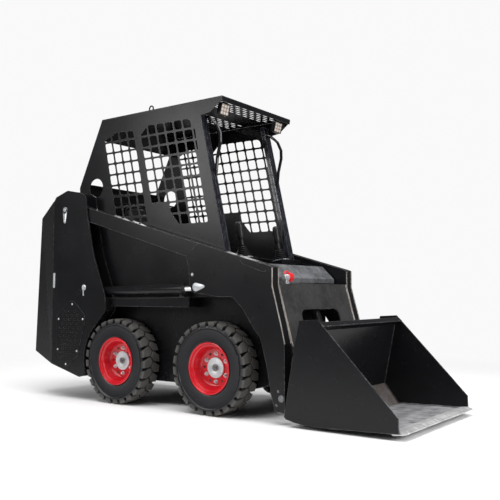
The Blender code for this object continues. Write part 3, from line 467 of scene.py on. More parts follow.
def edge_wear_group():
    """Mask of outer edges: how far the rounded normal leans from the flat one, broken by noise."""
    group, graph, given, out = shader_group(
        "edge_wear", {"Vector": None, "Width": 0.004, "Break Up": 0.5, "Scale": 60.0}, ["Mask"]
    )
    rounded_normal = graph.node("ShaderNodeBevel", {"Radius": given["Width"]}, samples=4)
    flat_normal = graph.node("ShaderNodeNewGeometry")
    likeness = graph.node("ShaderNodeVectorMath", operation="DOT_PRODUCT")
    graph.give(likeness.inputs[0], rounded_normal.outputs[0])
    graph.give(likeness.inputs[1], flat_normal.outputs["Normal"])
    lean = graph.math("SUBTRACT", 1.0, likeness.outputs["Value"])
    edge = graph.step(lean, 0.010, 0.11)
    grain = graph.noise(given["Vector"], given["Scale"], 4.0, 0.65)
    broken = graph.step(grain, 0.42, 0.60)
    graph.give(out["Mask"], graph.math("MULTIPLY", edge, graph.lerp(given["Break Up"], 1.0, broken)))
    return group


def grain_group():
    """Fine relief and uneven gloss: small noise for the skin, wide noise for its patches."""
    group, graph, given, out = shader_group(
        "paint_grain",
        {"Vector": None, "Scale": 500.0, "Roughness": 0.35, "Spread": 0.1},
        ["Height", "Roughness", "Patches"],
    )
    graph.give(out["Height"], graph.noise(given["Vector"], given["Scale"], 2.0))
    patches = graph.noise(given["Vector"], 3.5, 5.0, 0.6)
    swing = graph.math("MULTIPLY", graph.math("SUBTRACT", patches, 0.5), given["Spread"])
    graph.give(out["Roughness"], graph.math("ADD", given["Roughness"], swing))
    graph.give(out["Patches"], patches)
    return group


def dust_group():
    """Dust that settles on faces which look up, in soft patches."""
    group, graph, given, out = shader_group("dust", {"Vector": None, "Amount": 0.3}, ["Mask"])
    normal = graph.node("ShaderNodeNewGeometry").outputs["Normal"]
    parts = graph.node("ShaderNodeSeparateXYZ", {"Vector": normal})
    upward = graph.step(parts.outputs["Z"], 0.25, 0.95)
    patch = graph.step(graph.noise(given["Vector"], 9.0, 6.0, 0.65), 0.35, 0.75)
    settled = graph.math("MULTIPLY", upward, graph.lerp(0.6, 1.0, patch))
    graph.give(out["Mask"], graph.math("MULTIPLY", settled, given["Amount"]))
    return group


def scratch_group():
    """Fine scratches: noise stretched far along X, cut to its thin bright ridges."""
    group, graph, given, out = shader_group("scratches", {"Vector": None, "Scale": 90.0}, ["Mask", "Height"])
    stretch = graph.node("ShaderNodeMapping", {"Vector": given["Vector"], "Scale": (0.04, 1.0, 1.0)})
    lines = graph.noise(stretch.outputs[0], given["Scale"], 5.0, 0.75)
    graph.give(out["Mask"], graph.step(lines, 0.50, 0.66))
    graph.give(out["Height"], lines)
    return group


EDGE_WEAR, GRAIN, DUST, SCRATCHES = edge_wear_group(), grain_group(), dust_group(), scratch_group()


def finish(name, colour, roughness, metallic=0.0, coat=0.0, mirror=0.5):
    """A material with its shader and a graph to build on; its texture space is the object's own."""
    made = bpy.data.materials.new(name)
    made.use_nodes = True
    graph = Graph(made.node_tree)
    shader = made.node_tree.nodes["Principled BSDF"]
    shader.inputs["Base Color"].default_value = (*colour, 1)
    shader.inputs["Roughness"].default_value = roughness
    shader.inputs["Metallic"].default_value = metallic
    shader.inputs["Coat Weight"].default_value = coat
    shader.inputs["Specular IOR Level"].default_value = mirror
    place = graph.node("ShaderNodeTexCoord").outputs["Object"]
    return made, graph, shader.inputs, place


def use_group(graph, group, **values):
    """Places a shader group; words in a keyword stand for its input, with _ for a space."""
    made = graph.node("ShaderNodeGroup", node_tree=group)
    for key, value in values.items():
        graph.give(made.inputs[key.replace("_", " ")], value)
    return made.outputs


def relief(graph, sockets, height, strength, distance=0.001):
    """Feeds a height to the shader's normal through a bump."""
    inputs = {"Height": height, "Strength": strength, "Distance": distance}
    graph.give(sockets["Normal"], graph.node("ShaderNodeBump", inputs).outputs[0])


# %% Paint
CAB_LEAN = -0.228
POST_TOP = (0.668, 1.993)


def painted(name, colour, roughness, wear_colour, wear, dust, coat=0.0, width=0.004, mirror=0.22):
    """Enamel on plate: orange peel, uneven gloss, bare metal on edges and dust on what faces up."""
    made, graph, sockets, place = finish(name, colour, roughness, coat=coat, mirror=mirror)
    grain = use_group(graph, GRAIN, Vector=place, Scale=420.0, Roughness=roughness, Spread=0.14)
    edge = use_group(graph, EDGE_WEAR, Vector=place, Width=width, Break_Up=0.75, Scale=38.0)
    worn = graph.math("MULTIPLY", edge["Mask"], wear)
    settled = use_group(graph, DUST, Vector=place, Amount=dust)["Mask"]
    tone = graph.blend(graph.step(grain["Patches"], 0.3, 0.7), colour, [1.35 * c for c in colour])
    dusty = graph.blend(settled, tone, (0.20, 0.19, 0.18))
    graph.give(sockets["Base Color"], graph.blend(worn, dusty, wear_colour))
    rough = graph.lerp(settled, grain["Roughness"], 0.75)
    graph.give(sockets["Roughness"], graph.lerp(worn, rough, 0.38))
    graph.give(sockets["Metallic"], graph.math("MULTIPLY", worn, 0.8))
    relief(graph, sockets, grain["Height"], 0.10, 0.0004)
    return made


BLACK = (0.0060, 0.0062, 0.0072)
BLACK_PAINT = painted("black_enamel", BLACK, 0.26, (0.30, 0.30, 0.30), 0.45, 0.05)
PLATE_PAINT = painted("black_plate_enamel", BLACK, 0.26, (0.42, 0.42, 0.42), 0.7, 0.06, width=0.0035)
RED_PAINT = painted(
    "red_enamel", (0.50, 0.006, 0.014), 0.22, (0.40, 0.10, 0.10), 0.10, 0.0, coat=0.25, mirror=0.4
)


def sheen_streaked_paint():
    """The posts' paint: bluish streaks of painted sheen down the post; the handle on it stays black."""
    made, graph, sockets, place = finish("post_enamel", BLACK, 0.22, coat=0.3, mirror=0.3)
    streak = graph.node("ShaderNodeMapping", {"Vector": place, "Scale": (22.0, 22.0, 1.6)}).outputs[0]
    lines = graph.step(graph.noise(streak, 5.0, 6.0, 0.7), 0.44, 0.74)
    parts = graph.node("ShaderNodeSeparateXYZ", {"Vector": place}).outputs
    front_line = graph.math("MULTIPLY_ADD", parts["Z"], CAB_LEAN, at(POST_TOP[0]) - CAB_LEAN * POST_TOP[1])
    on_post = graph.math("LESS_THAN", graph.math("SUBTRACT", parts["X"], front_line), 0.0015)
    # Painted sheen: bluish streaks of reflection, painted along the post's length.
    painted_sheen = graph.math("MULTIPLY", lines, on_post)
    edge = use_group(graph, EDGE_WEAR, Vector=place, Width=0.004, Break_Up=0.6, Scale=45.0)["Mask"]
    worn = graph.math("MULTIPLY", graph.math("MULTIPLY", edge, on_post), 0.8)
    # The bluish colour is the painted sheen laid over the black paint where the streaks lie.
    tone = graph.blend(painted_sheen, BLACK, (0.060, 0.064, 0.088))
    graph.give(sockets["Base Color"], graph.blend(worn, tone, (0.34, 0.36, 0.42)))
    graph.give(sockets["Metallic"], graph.lerp(worn, 0.0, 0.6))
    graph.give(sockets["Roughness"], graph.lerp(lines, 0.18, 0.34))
    relief(graph, sockets, lines, 0.10, 0.0008)
    return made


POST_PAINT = sheen_streaked_paint()


# %% Bare and plated metal
def metal(name, colour, dark, roughness, scale, scratch=0.5, stain=None, stain_share=0.0, shine=0.7):
    """Bare metal with rubbed scratches, cloudy patches and, if given, a stain in noise patches."""
    made, graph, sockets, place = finish(name, colour, roughness, shine)
    lines = use_group(graph, SCRATCHES, Vector=place, Scale=scale)
    clouds = graph.noise(place, 7.0, 6.0, 0.65)
    tone = graph.blend(graph.step(clouds, 0.35, 0.68), dark, colour)
    scratched = graph.math("MULTIPLY", lines["Mask"], scratch)
    bright = graph.blend(scratched, tone, [min(1, 1.5 * c) for c in colour])
    if stain:
        patch = graph.step(graph.noise(place, 16.0, 7.0, 0.7), 0.62 - stain_share, 0.72 - stain_share)
        bright = graph.blend(graph.math("MULTIPLY", patch, 0.8), bright, stain)
        graph.give(sockets["Metallic"], graph.lerp(patch, shine, 0.2))
    graph.give(sockets["Base Color"], bright)
    graph.give(sockets["Roughness"], graph.lerp(clouds, roughness + 0.14, roughness - 0.08))
    relief(graph, sockets, lines["Height"], 0.18, 0.0006)
    return made


SCUFFED = metal("scuffed_steel", (0.26, 0.265, 0.28), (0.10, 0.102, 0.11), 0.40, 70.0, 0.8, shine=0.55)
PRIMED = metal("rubbed_primer", (0.070, 0.068, 0.068), (0.036, 0.035, 0.035), 0.42, 34.0, 0.5, shine=0.35)
CUTTING_STEEL = metal("ground_steel", (0.62, 0.62, 0.62), (0.40, 0.40, 0.40), 0.34, 60.0, 0.9, shine=0.35)
BARE_EDGE = metal(
    "bare_edge", (0.46, 0.43, 0.40), (0.20, 0.17, 0.15), 0.40, 90.0, 0.6, (0.16, 0.10, 0.07), 0.06, shine=0.45
)
ZINC = metal("zinc_plate", (0.72, 0.74, 0.75), (0.50, 0.52, 0.54), 0.32, 120.0, 0.25, shine=0.55)
DULL_ZINC = metal("dull_bolts", (0.30, 0.31, 0.32), (0.14, 0.145, 0.15), 0.36, 120.0, 0.25, shine=0.7)
CHROME = metal("hard_chrome", (0.85, 0.85, 0.86), (0.76, 0.76, 0.77), 0.12, 160.0, 0.10, shine=0.85)
AXLE_STEEL = metal("axle_steel", (0.12, 0.12, 0.12), (0.05, 0.05, 0.05), 0.45, 60.0, 0.3)
IRON = metal("cast_iron", (0.07, 0.07, 0.07), (0.035, 0.035, 0.035), 0.6, 45.0, 0.1, (0.06, 0.04, 0.03), 0.05)


# %% Rubber, vinyl and lamp glass
def tread_rubber():
    """Tyre rubber: dull grey, paler and dustier where the block tops meet the ground."""
    made, graph, sockets, place = finish("tyre_rubber", (0.008, 0.008, 0.010), 0.4, mirror=0.4)
    top = graph.node("ShaderNodeAttribute", attribute_name="block_top").outputs["Fac"]
    patches = graph.noise(place, 22.0, 6.0, 0.7)
    fine = graph.noise(place, 600.0, 2.0)
    side = graph.blend(patches, (0.0035, 0.0038, 0.0052), (0.0080, 0.0086, 0.0115))
    scuffed = graph.blend(patches, (0.045, 0.043, 0.040), (0.120, 0.114, 0.106))
    graph.give(sockets["Base Color"], graph.blend(top, side, scuffed))
    graph.give(sockets["Roughness"], graph.lerp(top, 0.27, 0.50))
    relief(graph, sockets, fine, 0.25, 0.0005)
    return made


def soft_rubber(name, colour, roughness, scale, strength):
    """Moulded rubber, grained vinyl or plastic: a cell pattern as relief and a faint tone change."""
    made, graph, sockets, place = finish(name, colour, roughness, mirror=0.3)
    cells = graph.node("ShaderNodeTexVoronoi", {"Vector": place, "Scale": scale}).outputs["Distance"]
    tone = graph.noise(place, 14.0, 4.0)
    graph.give(sockets["Base Color"], graph.blend(tone, colour, [1.7 * c for c in colour]))
    graph.give(sockets["Roughness"], graph.lerp(tone, roughness - 0.06, roughness + 0.08))
    relief(graph, sockets, cells, strength, 0.0006)
    return made


def lens():
    """The lamp's front: off-white frosted cells with a warm brown grid between them."""
    made, graph, sockets, place = finish("lamp_lens", (0.80, 0.77, 0.72), 0.28, coat=0.4)
    cloud = graph.noise(place, 60.0, 4.0)
    swell = graph.node("ShaderNodeAttribute", attribute_name="swell").outputs["Fac"]
    cell = graph.blend(cloud, (0.62, 0.57, 0.51), (0.88, 0.87, 0.85))
    grid = graph.blend(cloud, (0.32, 0.22, 0.16), (0.48, 0.36, 0.28))
    graph.give(sockets["Base Color"], graph.blend(graph.step(swell, 0.22, 0.50), grid, cell))
    graph.give(sockets["Roughness"], graph.lerp(cloud, 0.2, 0.4))
    return made


TREAD = tread_rubber()
BOOT = soft_rubber("boot_rubber", (0.010, 0.010, 0.011), 0.30, 900.0, 0.1)
GRIP = soft_rubber("grip_plastic", (0.010, 0.010, 0.011), 0.45, 500.0, 0.3)
VINYL = soft_rubber("seat_vinyl", (0.010, 0.010, 0.011), 0.44, 420.0, 0.45)
LAMP_BODY = soft_rubber("lamp_body", (0.010, 0.010, 0.010), 0.4, 300.0, 0.1)
LENS = lens()
CAP_RED = soft_rubber("cap_plastic", (0.62, 0.012, 0.02), 0.38, 300.0, 0.15)


# %% Bucket steel
def bucket_steel():
    """Black paint that digging has rubbed off: bare scratched steel on the bucket's floor."""
    made, graph, sockets, place = finish("bucket_paint", BLACK, 0.26, mirror=0.24)
    low, high = (np.array(corner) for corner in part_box("bucket_shell"))
    parts = graph.node("ShaderNodeSeparateXYZ", {"Vector": place}).outputs
    normal = graph.node("ShaderNodeNewGeometry").outputs["Normal"]
    facing_up = graph.node("ShaderNodeSeparateXYZ", {"Vector": normal}).outputs["Z"]
    lines = use_group(graph, SCRATCHES, Vector=place, Scale=60.0)
    cloud = graph.noise(place, 11.0, 6.0, 0.7)
    height = graph.math("ADD", parts["Z"], graph.math("MULTIPLY", graph.math("SUBTRACT", cloud, 0.5), 0.04))
    floor_zone = graph.math("SUBTRACT", 1.0, graph.step(height, low[2] + 0.16, low[2] + 0.19))
    upward = graph.step(facing_up, 0.35, 0.75)
    bare = graph.math("MULTIPLY", floor_zone, upward)
    edge = use_group(graph, EDGE_WEAR, Vector=place, Width=0.005, Break_Up=0.65, Scale=30.0)["Mask"]
    steel = graph.blend(graph.step(cloud, 0.38, 0.62), (0.20, 0.20, 0.21), (0.44, 0.44, 0.46))
    steel = graph.blend(graph.math("MULTIPLY", lines["Mask"], 0.8), steel, (0.84, 0.84, 0.86))
    slope = graph.step(graph.math("SUBTRACT", at(1.66), parts["X"]), -0.01, 0.02)
    steel = graph.blend(graph.math("MULTIPLY", slope, 0.75), steel, (0.130, 0.100, 0.085))
    shown = graph.math("MAXIMUM", bare, graph.math("MULTIPLY", edge, 0.6))
    paint = graph.blend(cloud, BLACK, [1.4 * c for c in BLACK])
    graph.give(sockets["Base Color"], graph.blend(shown, paint, steel))
    graph.give(sockets["Metallic"], graph.math("MULTIPLY", shown, 0.35))
    graph.give(sockets["Roughness"], graph.lerp(shown, graph.lerp(cloud, 0.20, 0.32), 0.36))
    relief(graph, sockets, graph.math("MULTIPLY", lines["Height"], shown), 0.25, 0.0006)
    return made


BUCKET_STEEL = bucket_steel()


def refinish(material, *names):
    """Gives frame pieces a finished material in place of their plain one."""
    for name in names:
        slots = NODES[name].data.materials
        slots.clear()
        slots.append(material)


refinish(BLACK_PAINT, "chassis_tub", "engine_hood", "cab_rear_panel", "cab_floor", "rear_door")
refinish(BLACK_PAINT, "console_left", "console_right", "tower_left", "tower_right")
refinish(BLACK_PAINT, "fender_left", "fender_right")
refinish(PLATE_PAINT, "lift_arm_left", "lift_arm_right")
refinish(POST_PAINT, "front_post_left", "front_post_right")
refinish(PRIMED, "cross_member")
refinish(SCUFFED, "front_cover")
refinish(CUTTING_STEEL, "cutting_edge")
refinish(BUCKET_STEEL, "bucket_shell")
refinish(AXLE_STEEL, "axle_front", "axle_rear")
refinish(IRON, "engine_block")
print(len(bpy.data.materials), "materials")

# %% [markdown]
# ## Tyres
#
# The tyre is a smooth carcass with two rows of thick tread blocks. Each block is a warped grid:
# one direction runs from the zigzag at the tyre's middle out to the shoulder, the other runs
# round the tyre. The two outermost rings of the grid drop down, which gives the block its sides.

# %% Tyre measures
TYRE_LOW, TYRE_HIGH = (np.array(corner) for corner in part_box("tyre_rear_right"))
TYRE_RADIUS = (TYRE_HIGH[2] - TYRE_LOW[2]) / 2
TYRE_HALF = (TYRE_HIGH[1] - TYRE_LOW[1]) / 2
RIM_LOW, RIM_HIGH = (np.array(corner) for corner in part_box("rim_rear_right"))
RIM_RADIUS = (RIM_HIGH[2] - RIM_LOW[2]) / 2
BLOCKS_ROUND = 25
BLOCK_DEPTH = 0.024
SHOULDER_RADIUS = TYRE_RADIUS - 0.030
print("tyre radius", round(TYRE_RADIUS, 4), "half width", round(TYRE_HALF, 4), "rim", round(RIM_RADIUS, 4))


def round_the_wheel(angle, radius, across):
    """Puts (angle, radius, across) into the wheel's own frame, with its axle along Y."""
    return np.stack([radius * np.cos(angle), across + 0 * angle, radius * np.sin(angle)], -1)


def tread_block(row):
    """One block: angle = slant + half width * t, across = from the zigzag (s=0) to the shoulder (s=1)."""
    pitch = 2 * math.pi / BLOCKS_ROUND
    s_line = np.array([0, 0, 0.022, 0.2, 0.4, 0.6, 0.8, 0.978, 1, 1])
    t_line = np.array([-1, -1, -0.94, -0.5, 0, 0.5, 0.94, 1, 1])
    s, t = np.meshgrid(s_line, t_line, indexing="ij")
    zigzag = 0.16 * (2 * abs(t) - 1)
    across = (0.060 + zigzag) + (1 - 0.060 - zigzag) * s
    half_width = pitch * (0.440 - 0.105 * np.clip((s - 0.35) / 0.4, 0, 1))
    slant = pitch * 0.22 * (0.5 - s)
    crown = TYRE_RADIUS - 0.004 * s**2
    drop = np.zeros_like(s)
    drop[[1, -2], :] = 0.0018
    drop[:, [1, -2]] = 0.0018
    base = TYRE_RADIUS - BLOCK_DEPTH
    radius = crown - drop
    radius[[0, -1], :] = base - 0.002
    radius[:, [0, -1]] = base - 0.002
    radius[-1, :] = SHOULDER_RADIUS - 0.006
    shoulder = np.clip((s - 0.8) / 0.2, 0, 1)
    y = across * TYRE_HALF - 0.0015 * shoulder * (drop > 0)
    angle = slant + half_width * t + (0.5 * pitch if row < 0 else 0.0)
    points = round_the_wheel(angle, radius, row * y)
    shape = surface(points)
    rows, columns = s.shape
    index = np.arange(rows * columns).reshape(rows, columns)
    rim = np.concatenate([index[0], index[1:, -1], index[-1, -2::-1], index[-2:0:-1, 0]])
    faces = shape[1] + [rim[::-1].tolist()]
    top = ((radius > base + 0.010) & (s < 1.01)).astype(float).ravel()
    return (shape[0], faces), top


def carcass():
    """The tyre's body: a closed profile turned round the axle, with a raised ring on each side."""
    half = TYRE_HALF
    side = [
        (TYRE_RADIUS - BLOCK_DEPTH, half * 0.55),
        (TYRE_RADIUS - BLOCK_DEPTH - 0.001, half * 0.86),
        (SHOULDER_RADIUS, half - 0.003),
        (SHOULDER_RADIUS - 0.010, half - 0.0015),
        (0.2475, half - 0.0035),
        (0.2460, half - 0.0010),
        (0.2425, half - 0.0008),
        (0.2408, half - 0.0040),
        (0.2250, half - 0.0065),
        (0.2000, half - 0.0080),
        (0.1800, half - 0.0095),
        (0.1700, half - 0.0090),
        (0.1660, half - 0.0105),
        (RIM_RADIUS + 0.0010, half - 0.0150),
    ]
    side = np.array(side)
    profile = np.concatenate([side, side[::-1] * (1, -1)])
    points, faces = lathe(profile, 120)
    return points[:, [0, 2, 1]], faces


def tyre_shape():
    """The carcass with its two staggered rows of blocks, and the mask of the block tops."""
    turns = np.arange(BLOCKS_ROUND) * 2 * math.pi / BLOCKS_ROUND
    matrices = np.tile(np.eye(4), (BLOCKS_ROUND, 1, 1))
    matrices[:, 0, 0] = matrices[:, 2, 2] = np.cos(turns)
    matrices[:, 0, 2], matrices[:, 2, 0] = -np.sin(turns), np.sin(turns)
    body = carcass()
    shapes, masks = [body], [np.zeros(len(body[0]))]
    for row in (1, -1):
        block, top = tread_block(row)
        shapes.append(repeated(block, matrices))
        masks.append(np.tile(top, BLOCKS_ROUND))
    return joined(*shapes), np.concatenate(masks)


# %% Four tyres
TYRE, BLOCK_TOP = tyre_shape()
for end in ("front", "rear"):
    for side_name, side in SIDES:
        centre = np.eye(4)
        centre[:3, 3] = JOINTS[f"wheel_{end}_{side_name}_spin"]["pos_m"]
        centre[1, 1] = side
        name = f"tyre_{end}_{side_name}"
        piece(
            f"{name}_tread",
            moved(TYRE, centre),
            TREAD,
            f"wheel_{end}_{side_name}",
            replaces=[name],
            sharp=22,
            masks={"block_top": BLOCK_TOP},
        )
print("one tyre has", len(TYRE[1]), "faces")

# %% [markdown]
# ## Wheels
#
# A pressed steel wheel is a deep stepped dish. The steps are rings of a turned profile; its bolt
# circle carries six bright nuts, with a thin dark disc of painted shade between each two where a
# hole would be, and a plated disc with one big bolt closes the hub.

# %% Wheel shapes
DISH_DEPTH = 0.085
BOLT_CIRCLE = 0.088
HOLE_CIRCLE = BOLT_CIRCLE + 0.006
NUTS = 6
BOLT_SEAT = 0.0075


def nut(radius, height):
    """A hexagon nut on a round flange: six-sided rings narrowed at the top, then the bolt's end."""
    size = (radius, height)
    flange = lathe(np.multiply([(0, 0), (1.45, 0), (1.45, 0.16), (1.2, 0.3), (0, 0.3)], size), 24)
    hexagon = lathe(np.multiply([(0, 0.1), (1, 0.1), (1, 0.85), (0.84, 1), (0, 1)], size), 6)
    end = lathe(np.multiply([(0, 0.8), (0.5, 0.8), (0.5, 1.25), (0.4, 1.35), (0, 1.35)], size), 16)
    return joined(flange, hexagon, end)


def button_screw(radius, height):
    """A round-headed screw: a quarter circle turned, with a small socket in its top."""
    dome = arc((0, 0), 1.0, 0, 72, 6) * (radius, height)
    socket = [(0.34 * radius, dome[-1][1]), (0.34 * radius, 0.45 * height), (0, 0.45 * height)]
    return lathe(np.concatenate([[(0, -0.001), (radius, -0.001)], dome, socket]), 16)


def wheel_dish():
    """The pressed dish as one turned section: its front from lip to bore, then its back."""
    half = TYRE_HALF
    face = half - DISH_DEPTH
    front = [
        (RIM_RADIUS - 0.0010, half - 0.0200),
        (RIM_RADIUS + 0.0035, half - 0.0125),
        (RIM_RADIUS + 0.0050, half - 0.0080),
        (RIM_RADIUS + 0.0020, half - 0.0055),
        (RIM_RADIUS - 0.0045, half - 0.0060),
        (RIM_RADIUS - 0.0075, half - 0.0090),
        (RIM_RADIUS - 0.0090, half - 0.0180),
        (RIM_RADIUS - 0.0110, half - 0.0205),
        (RIM_RADIUS - 0.0190, half - 0.0230),
        (RIM_RADIUS - 0.0215, half - 0.0260),
        (RIM_RADIUS - 0.0260, half - 0.0450),
        (RIM_RADIUS - 0.0320, face + 0.0180),
        (RIM_RADIUS - 0.0370, face + 0.0070),
        (RIM_RADIUS - 0.0430, face + 0.0015),
        (RIM_RADIUS - 0.0510, face),
        (0.0330, face),
        (0.0310, face - 0.0010),
    ]
    back = [
        (0.0310, -half + 0.0200),
        (0.0500, -half + 0.0200),
        (0.0800, face - 0.0120),
        (RIM_RADIUS - 0.0350, face - 0.0100),
        (RIM_RADIUS - 0.0120, face - 0.0060),
        (RIM_RADIUS - 0.0090, -half + 0.0130),
        (RIM_RADIUS - 0.0010, -half + 0.0170),
    ]
    return lathe(front + back, 96)


def on_bolt_circle(radius, height, shift):
    """Matrices that put a shape at each of the six places of a circle round the axle."""
    t = shift + np.arange(NUTS) * 2 * math.pi / NUTS
    matrices = np.tile(np.eye(4), (NUTS, 1, 1))
    matrices[:, 0, 3], matrices[:, 1, 3] = radius * np.cos(t), radius * np.sin(t)
    matrices[:, 2, 3] = height
    return matrices


def wheel_parts():
    """Dish, dark discs of painted hole shade, bright fittings and hub bolt, in the wheel's own frame, axle
    along Z.
    """
    face = TYRE_HALF - DISH_DEPTH
    half_step = math.pi / NUTS
    ring = [(0.0080, -0.0005), (0.0100, -0.0005), (0.0100, 0.0010), (0.0080, 0.0010)]
    collars = repeated(lathe(ring, 20), on_bolt_circle(HOLE_CIRCLE, face, half_step))
    # Painted shade: a thin black disc stands at each hole, where the dark inside of the wheel would show
    # through.
    dark = lathe([(0, -0.0005), (0.0082, -0.0005), (0.0082, 0.0006), (0, 0.0006)], 20)
    holes = repeated(dark, on_bolt_circle(HOLE_CIRCLE, face, half_step))
    nuts = repeated(nut(0.0098, 0.013), on_bolt_circle(BOLT_CIRCLE, face, 0.0))
    steps = [(0.065, 0.007), (0.0635, 0.0085), (0.030, 0.0085), (0.028, BOLT_SEAT), (0, BOLT_SEAT)]
    disc = lathe([(radius, face + up) for radius, up in [(0, 0), (0.065, 0), *steps]], 64)
    lift = np.eye(4)
    lift[2, 3] = face + BOLT_SEAT
    bolt = moved(nut(0.0165, 0.014), lift)
    return joined(wheel_dish(), collars), holes, joined(nuts, disc), bolt


# %% Four wheels
DISH, HOLE_SHADE_DISCS, FITTINGS, HUB_BOLT = wheel_parts()
for end in ("front", "rear"):
    for side_name, side in SIDES:
        body = f"wheel_{end}_{side_name}"
        place = facing(JOINTS[f"{body}_spin"]["pos_m"], (0, side, 0))
        piece(f"rim_{end}_{side_name}_dish", moved(DISH, place), RED_PAINT, body,
              replaces=[f"rim_{end}_{side_name}"])
        # Dark discs of painted shade in place of the dish's holes.
        piece(f"rim_{end}_{side_name}_holes", moved(HOLE_SHADE_DISCS, place), BOOT, body)
        piece(f"rim_{end}_{side_name}_nuts", moved(FITTINGS, place), ZINC, body)
        piece(f"hub_bolt_{end}_{side_name}", moved(HUB_BOLT, place), DULL_ZINC, body)

# %% [markdown]
# ## Punched cab sides
#
# Each side of the cab is one sheet. Its two windows are filled by a square screen cut from the
# same sheet, whose columns lean with the front posts. Each cell is a leaning square; a cell that
# crosses the window's edge is clipped to it, and all corners are then rounded as a laser cuts them.

# %% Screen cells
SCREEN_PITCH = 0.080
SCREEN_BAR = 0.013
CELL_ROUNDING = 0.014
SMALLEST_CELL = 0.0007


def clipped(subject, cell):
    """The part of a polygon inside a convex cell: each cell side in turn cuts away what is outside."""
    result = subject
    for a, b in zip(cell, np.roll(cell, -1, 0)):
        side = (b[0] - a[0]) * (result[:, 1] - a[1]) - (b[1] - a[1]) * (result[:, 0] - a[0])
        kept = []
        for k in range(len(result)):
            if side[k - 1] * side[k] < 0:
                t = side[k - 1] / (side[k - 1] - side[k])
                kept.append(result[k - 1] + t * (result[k] - result[k - 1]))
            if side[k] >= 0:
                kept.append(result[k])
        if len(kept) < 3:
            return None
        result = np.array(kept)
    return result


def area(ring):
    """Half the sum of the cross products of neighbouring corners."""
    after = np.roll(ring, -1, 0)
    return abs(np.sum(ring[:, 0] * after[:, 1] - after[:, 0] * ring[:, 1])) / 2


def screen_cells(window, corner):
    """Rounded cells of a window: left edge = corner + column pitch + lean times height."""
    window = np.array(window, float)
    rows = range(
        int((window[:, 1].min() - corner[1]) / SCREEN_PITCH) - 1,
        int((window[:, 1].max() - corner[1]) / SCREEN_PITCH) + 1,
    )
    cells = []
    for row in rows:
        bottom = corner[1] + row * SCREEN_PITCH + SCREEN_BAR / 2
        top = bottom + SCREEN_PITCH - SCREEN_BAR
        for column in range(-1, 8):
            left = corner[0] + column * SCREEN_PITCH + SCREEN_BAR / 2
            right = left + SCREEN_PITCH - SCREEN_BAR
            low_shift, high_shift = CAB_LEAN * (bottom - corner[1]), CAB_LEAN * (top - corner[1])
            low_edge = [(left + low_shift, bottom), (right + low_shift, bottom)]
            high_edge = [(right + high_shift, top), (left + high_shift, top)]
            cell = np.array(low_edge + high_edge)
            hole = clipped(window, cell)
            if hole is not None and area(hole) > SMALLEST_CELL:
                cells.append(rounded(hole, CELL_ROUNDING))
    return cells


# %% Cab side sheets
TUB_FRONT = 1.190
SIDE_LOW, SIDE_HIGH = (np.array(corner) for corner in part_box("cab_side_right"))
CAB_HALF = abs(SIDE_LOW[1])
SHEET = SIDE_HIGH[1] - SIDE_LOW[1]
SIDE_OUTLINE = [
    (-0.290, SIDE_LOW[2]),
    (TUB_FRONT, SIDE_LOW[2]),
    (TUB_FRONT, 0.880),
    (1.100, 0.946),
    (0.8967, 0.990),
    (0.6830, 1.927),
    (0.765, 1.937),
    (0.862, 2.010),
    (0.862, SIDE_HIGH[2]),
    (-0.259, SIDE_HIGH[2]),
    (-0.492, 1.545),
    (-0.485, 1.475),
    (-0.290, 1.400),
]
REAR_WINDOW = [
    (-0.110, 1.250),
    (0.212, 1.250),
    (0.073, 1.862),
    (0.056, 1.908),
    (-0.105, 1.918),
    (-0.245, 1.866),
]
FRONT_WINDOW = [
    (0.247, 1.376),
    (0.374, 1.360),
    (0.502, 1.219),
    (0.735, 1.212),
    (0.758, 1.240),
    (0.627, 1.878),
    (0.571, 1.918),
    (0.200, 1.924),
    (0.132, 1.862),
]
HAND_HOLE = arc((-0.311, 1.529), 0.070, 0, 354, 60)
CELLS = screen_cells(REAR_WINDOW, (-0.232, 1.852)) + screen_cells(FRONT_WINDOW, (0.132, 1.852))
for side_name, side in SIDES:
    sheet = punched(SIDE_OUTLINE, [HAND_HOLE, *CELLS], SHEET, 0.0007)
    piece(f"cab_side_{side_name}_sheet", seen_from_side(sheet, CAB_HALF - SHEET, side), BLACK_PAINT,
          "chassis", replaces=[f"cab_side_{side_name}"], sharp=15)
print(len(CELLS), "screen cells on each side")

# %% [markdown]
# ## Roof
#
# The roof is one folded sheet. It is cut with two groups of staggered slots that let the driver
# see a raised bucket; the sky shows through them. Two lifting eyes stand on welded collars.


# %% Roof sheet
ROOF_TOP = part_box("cab_side_right")[1][2] + 0.0045
ROOF_SHEET = 0.004
SLOT_ROW_PITCH, SLOT_COLUMN_PITCH = 0.030, 0.082
SLOTS_EACH_SIDE = 4


def slot_outline(length, width, centre, turned=False):
    """A slot with round ends: two half circles joined by straight sides."""
    half = (length - width) / 2
    ring = np.concatenate([arc((half, 0), width / 2, -90, 90, 7), arc((-half, 0), width / 2, 90, 270, 7)])
    if turned:
        ring = ring[:, ::-1] * (1, -1)
    return ring + centre


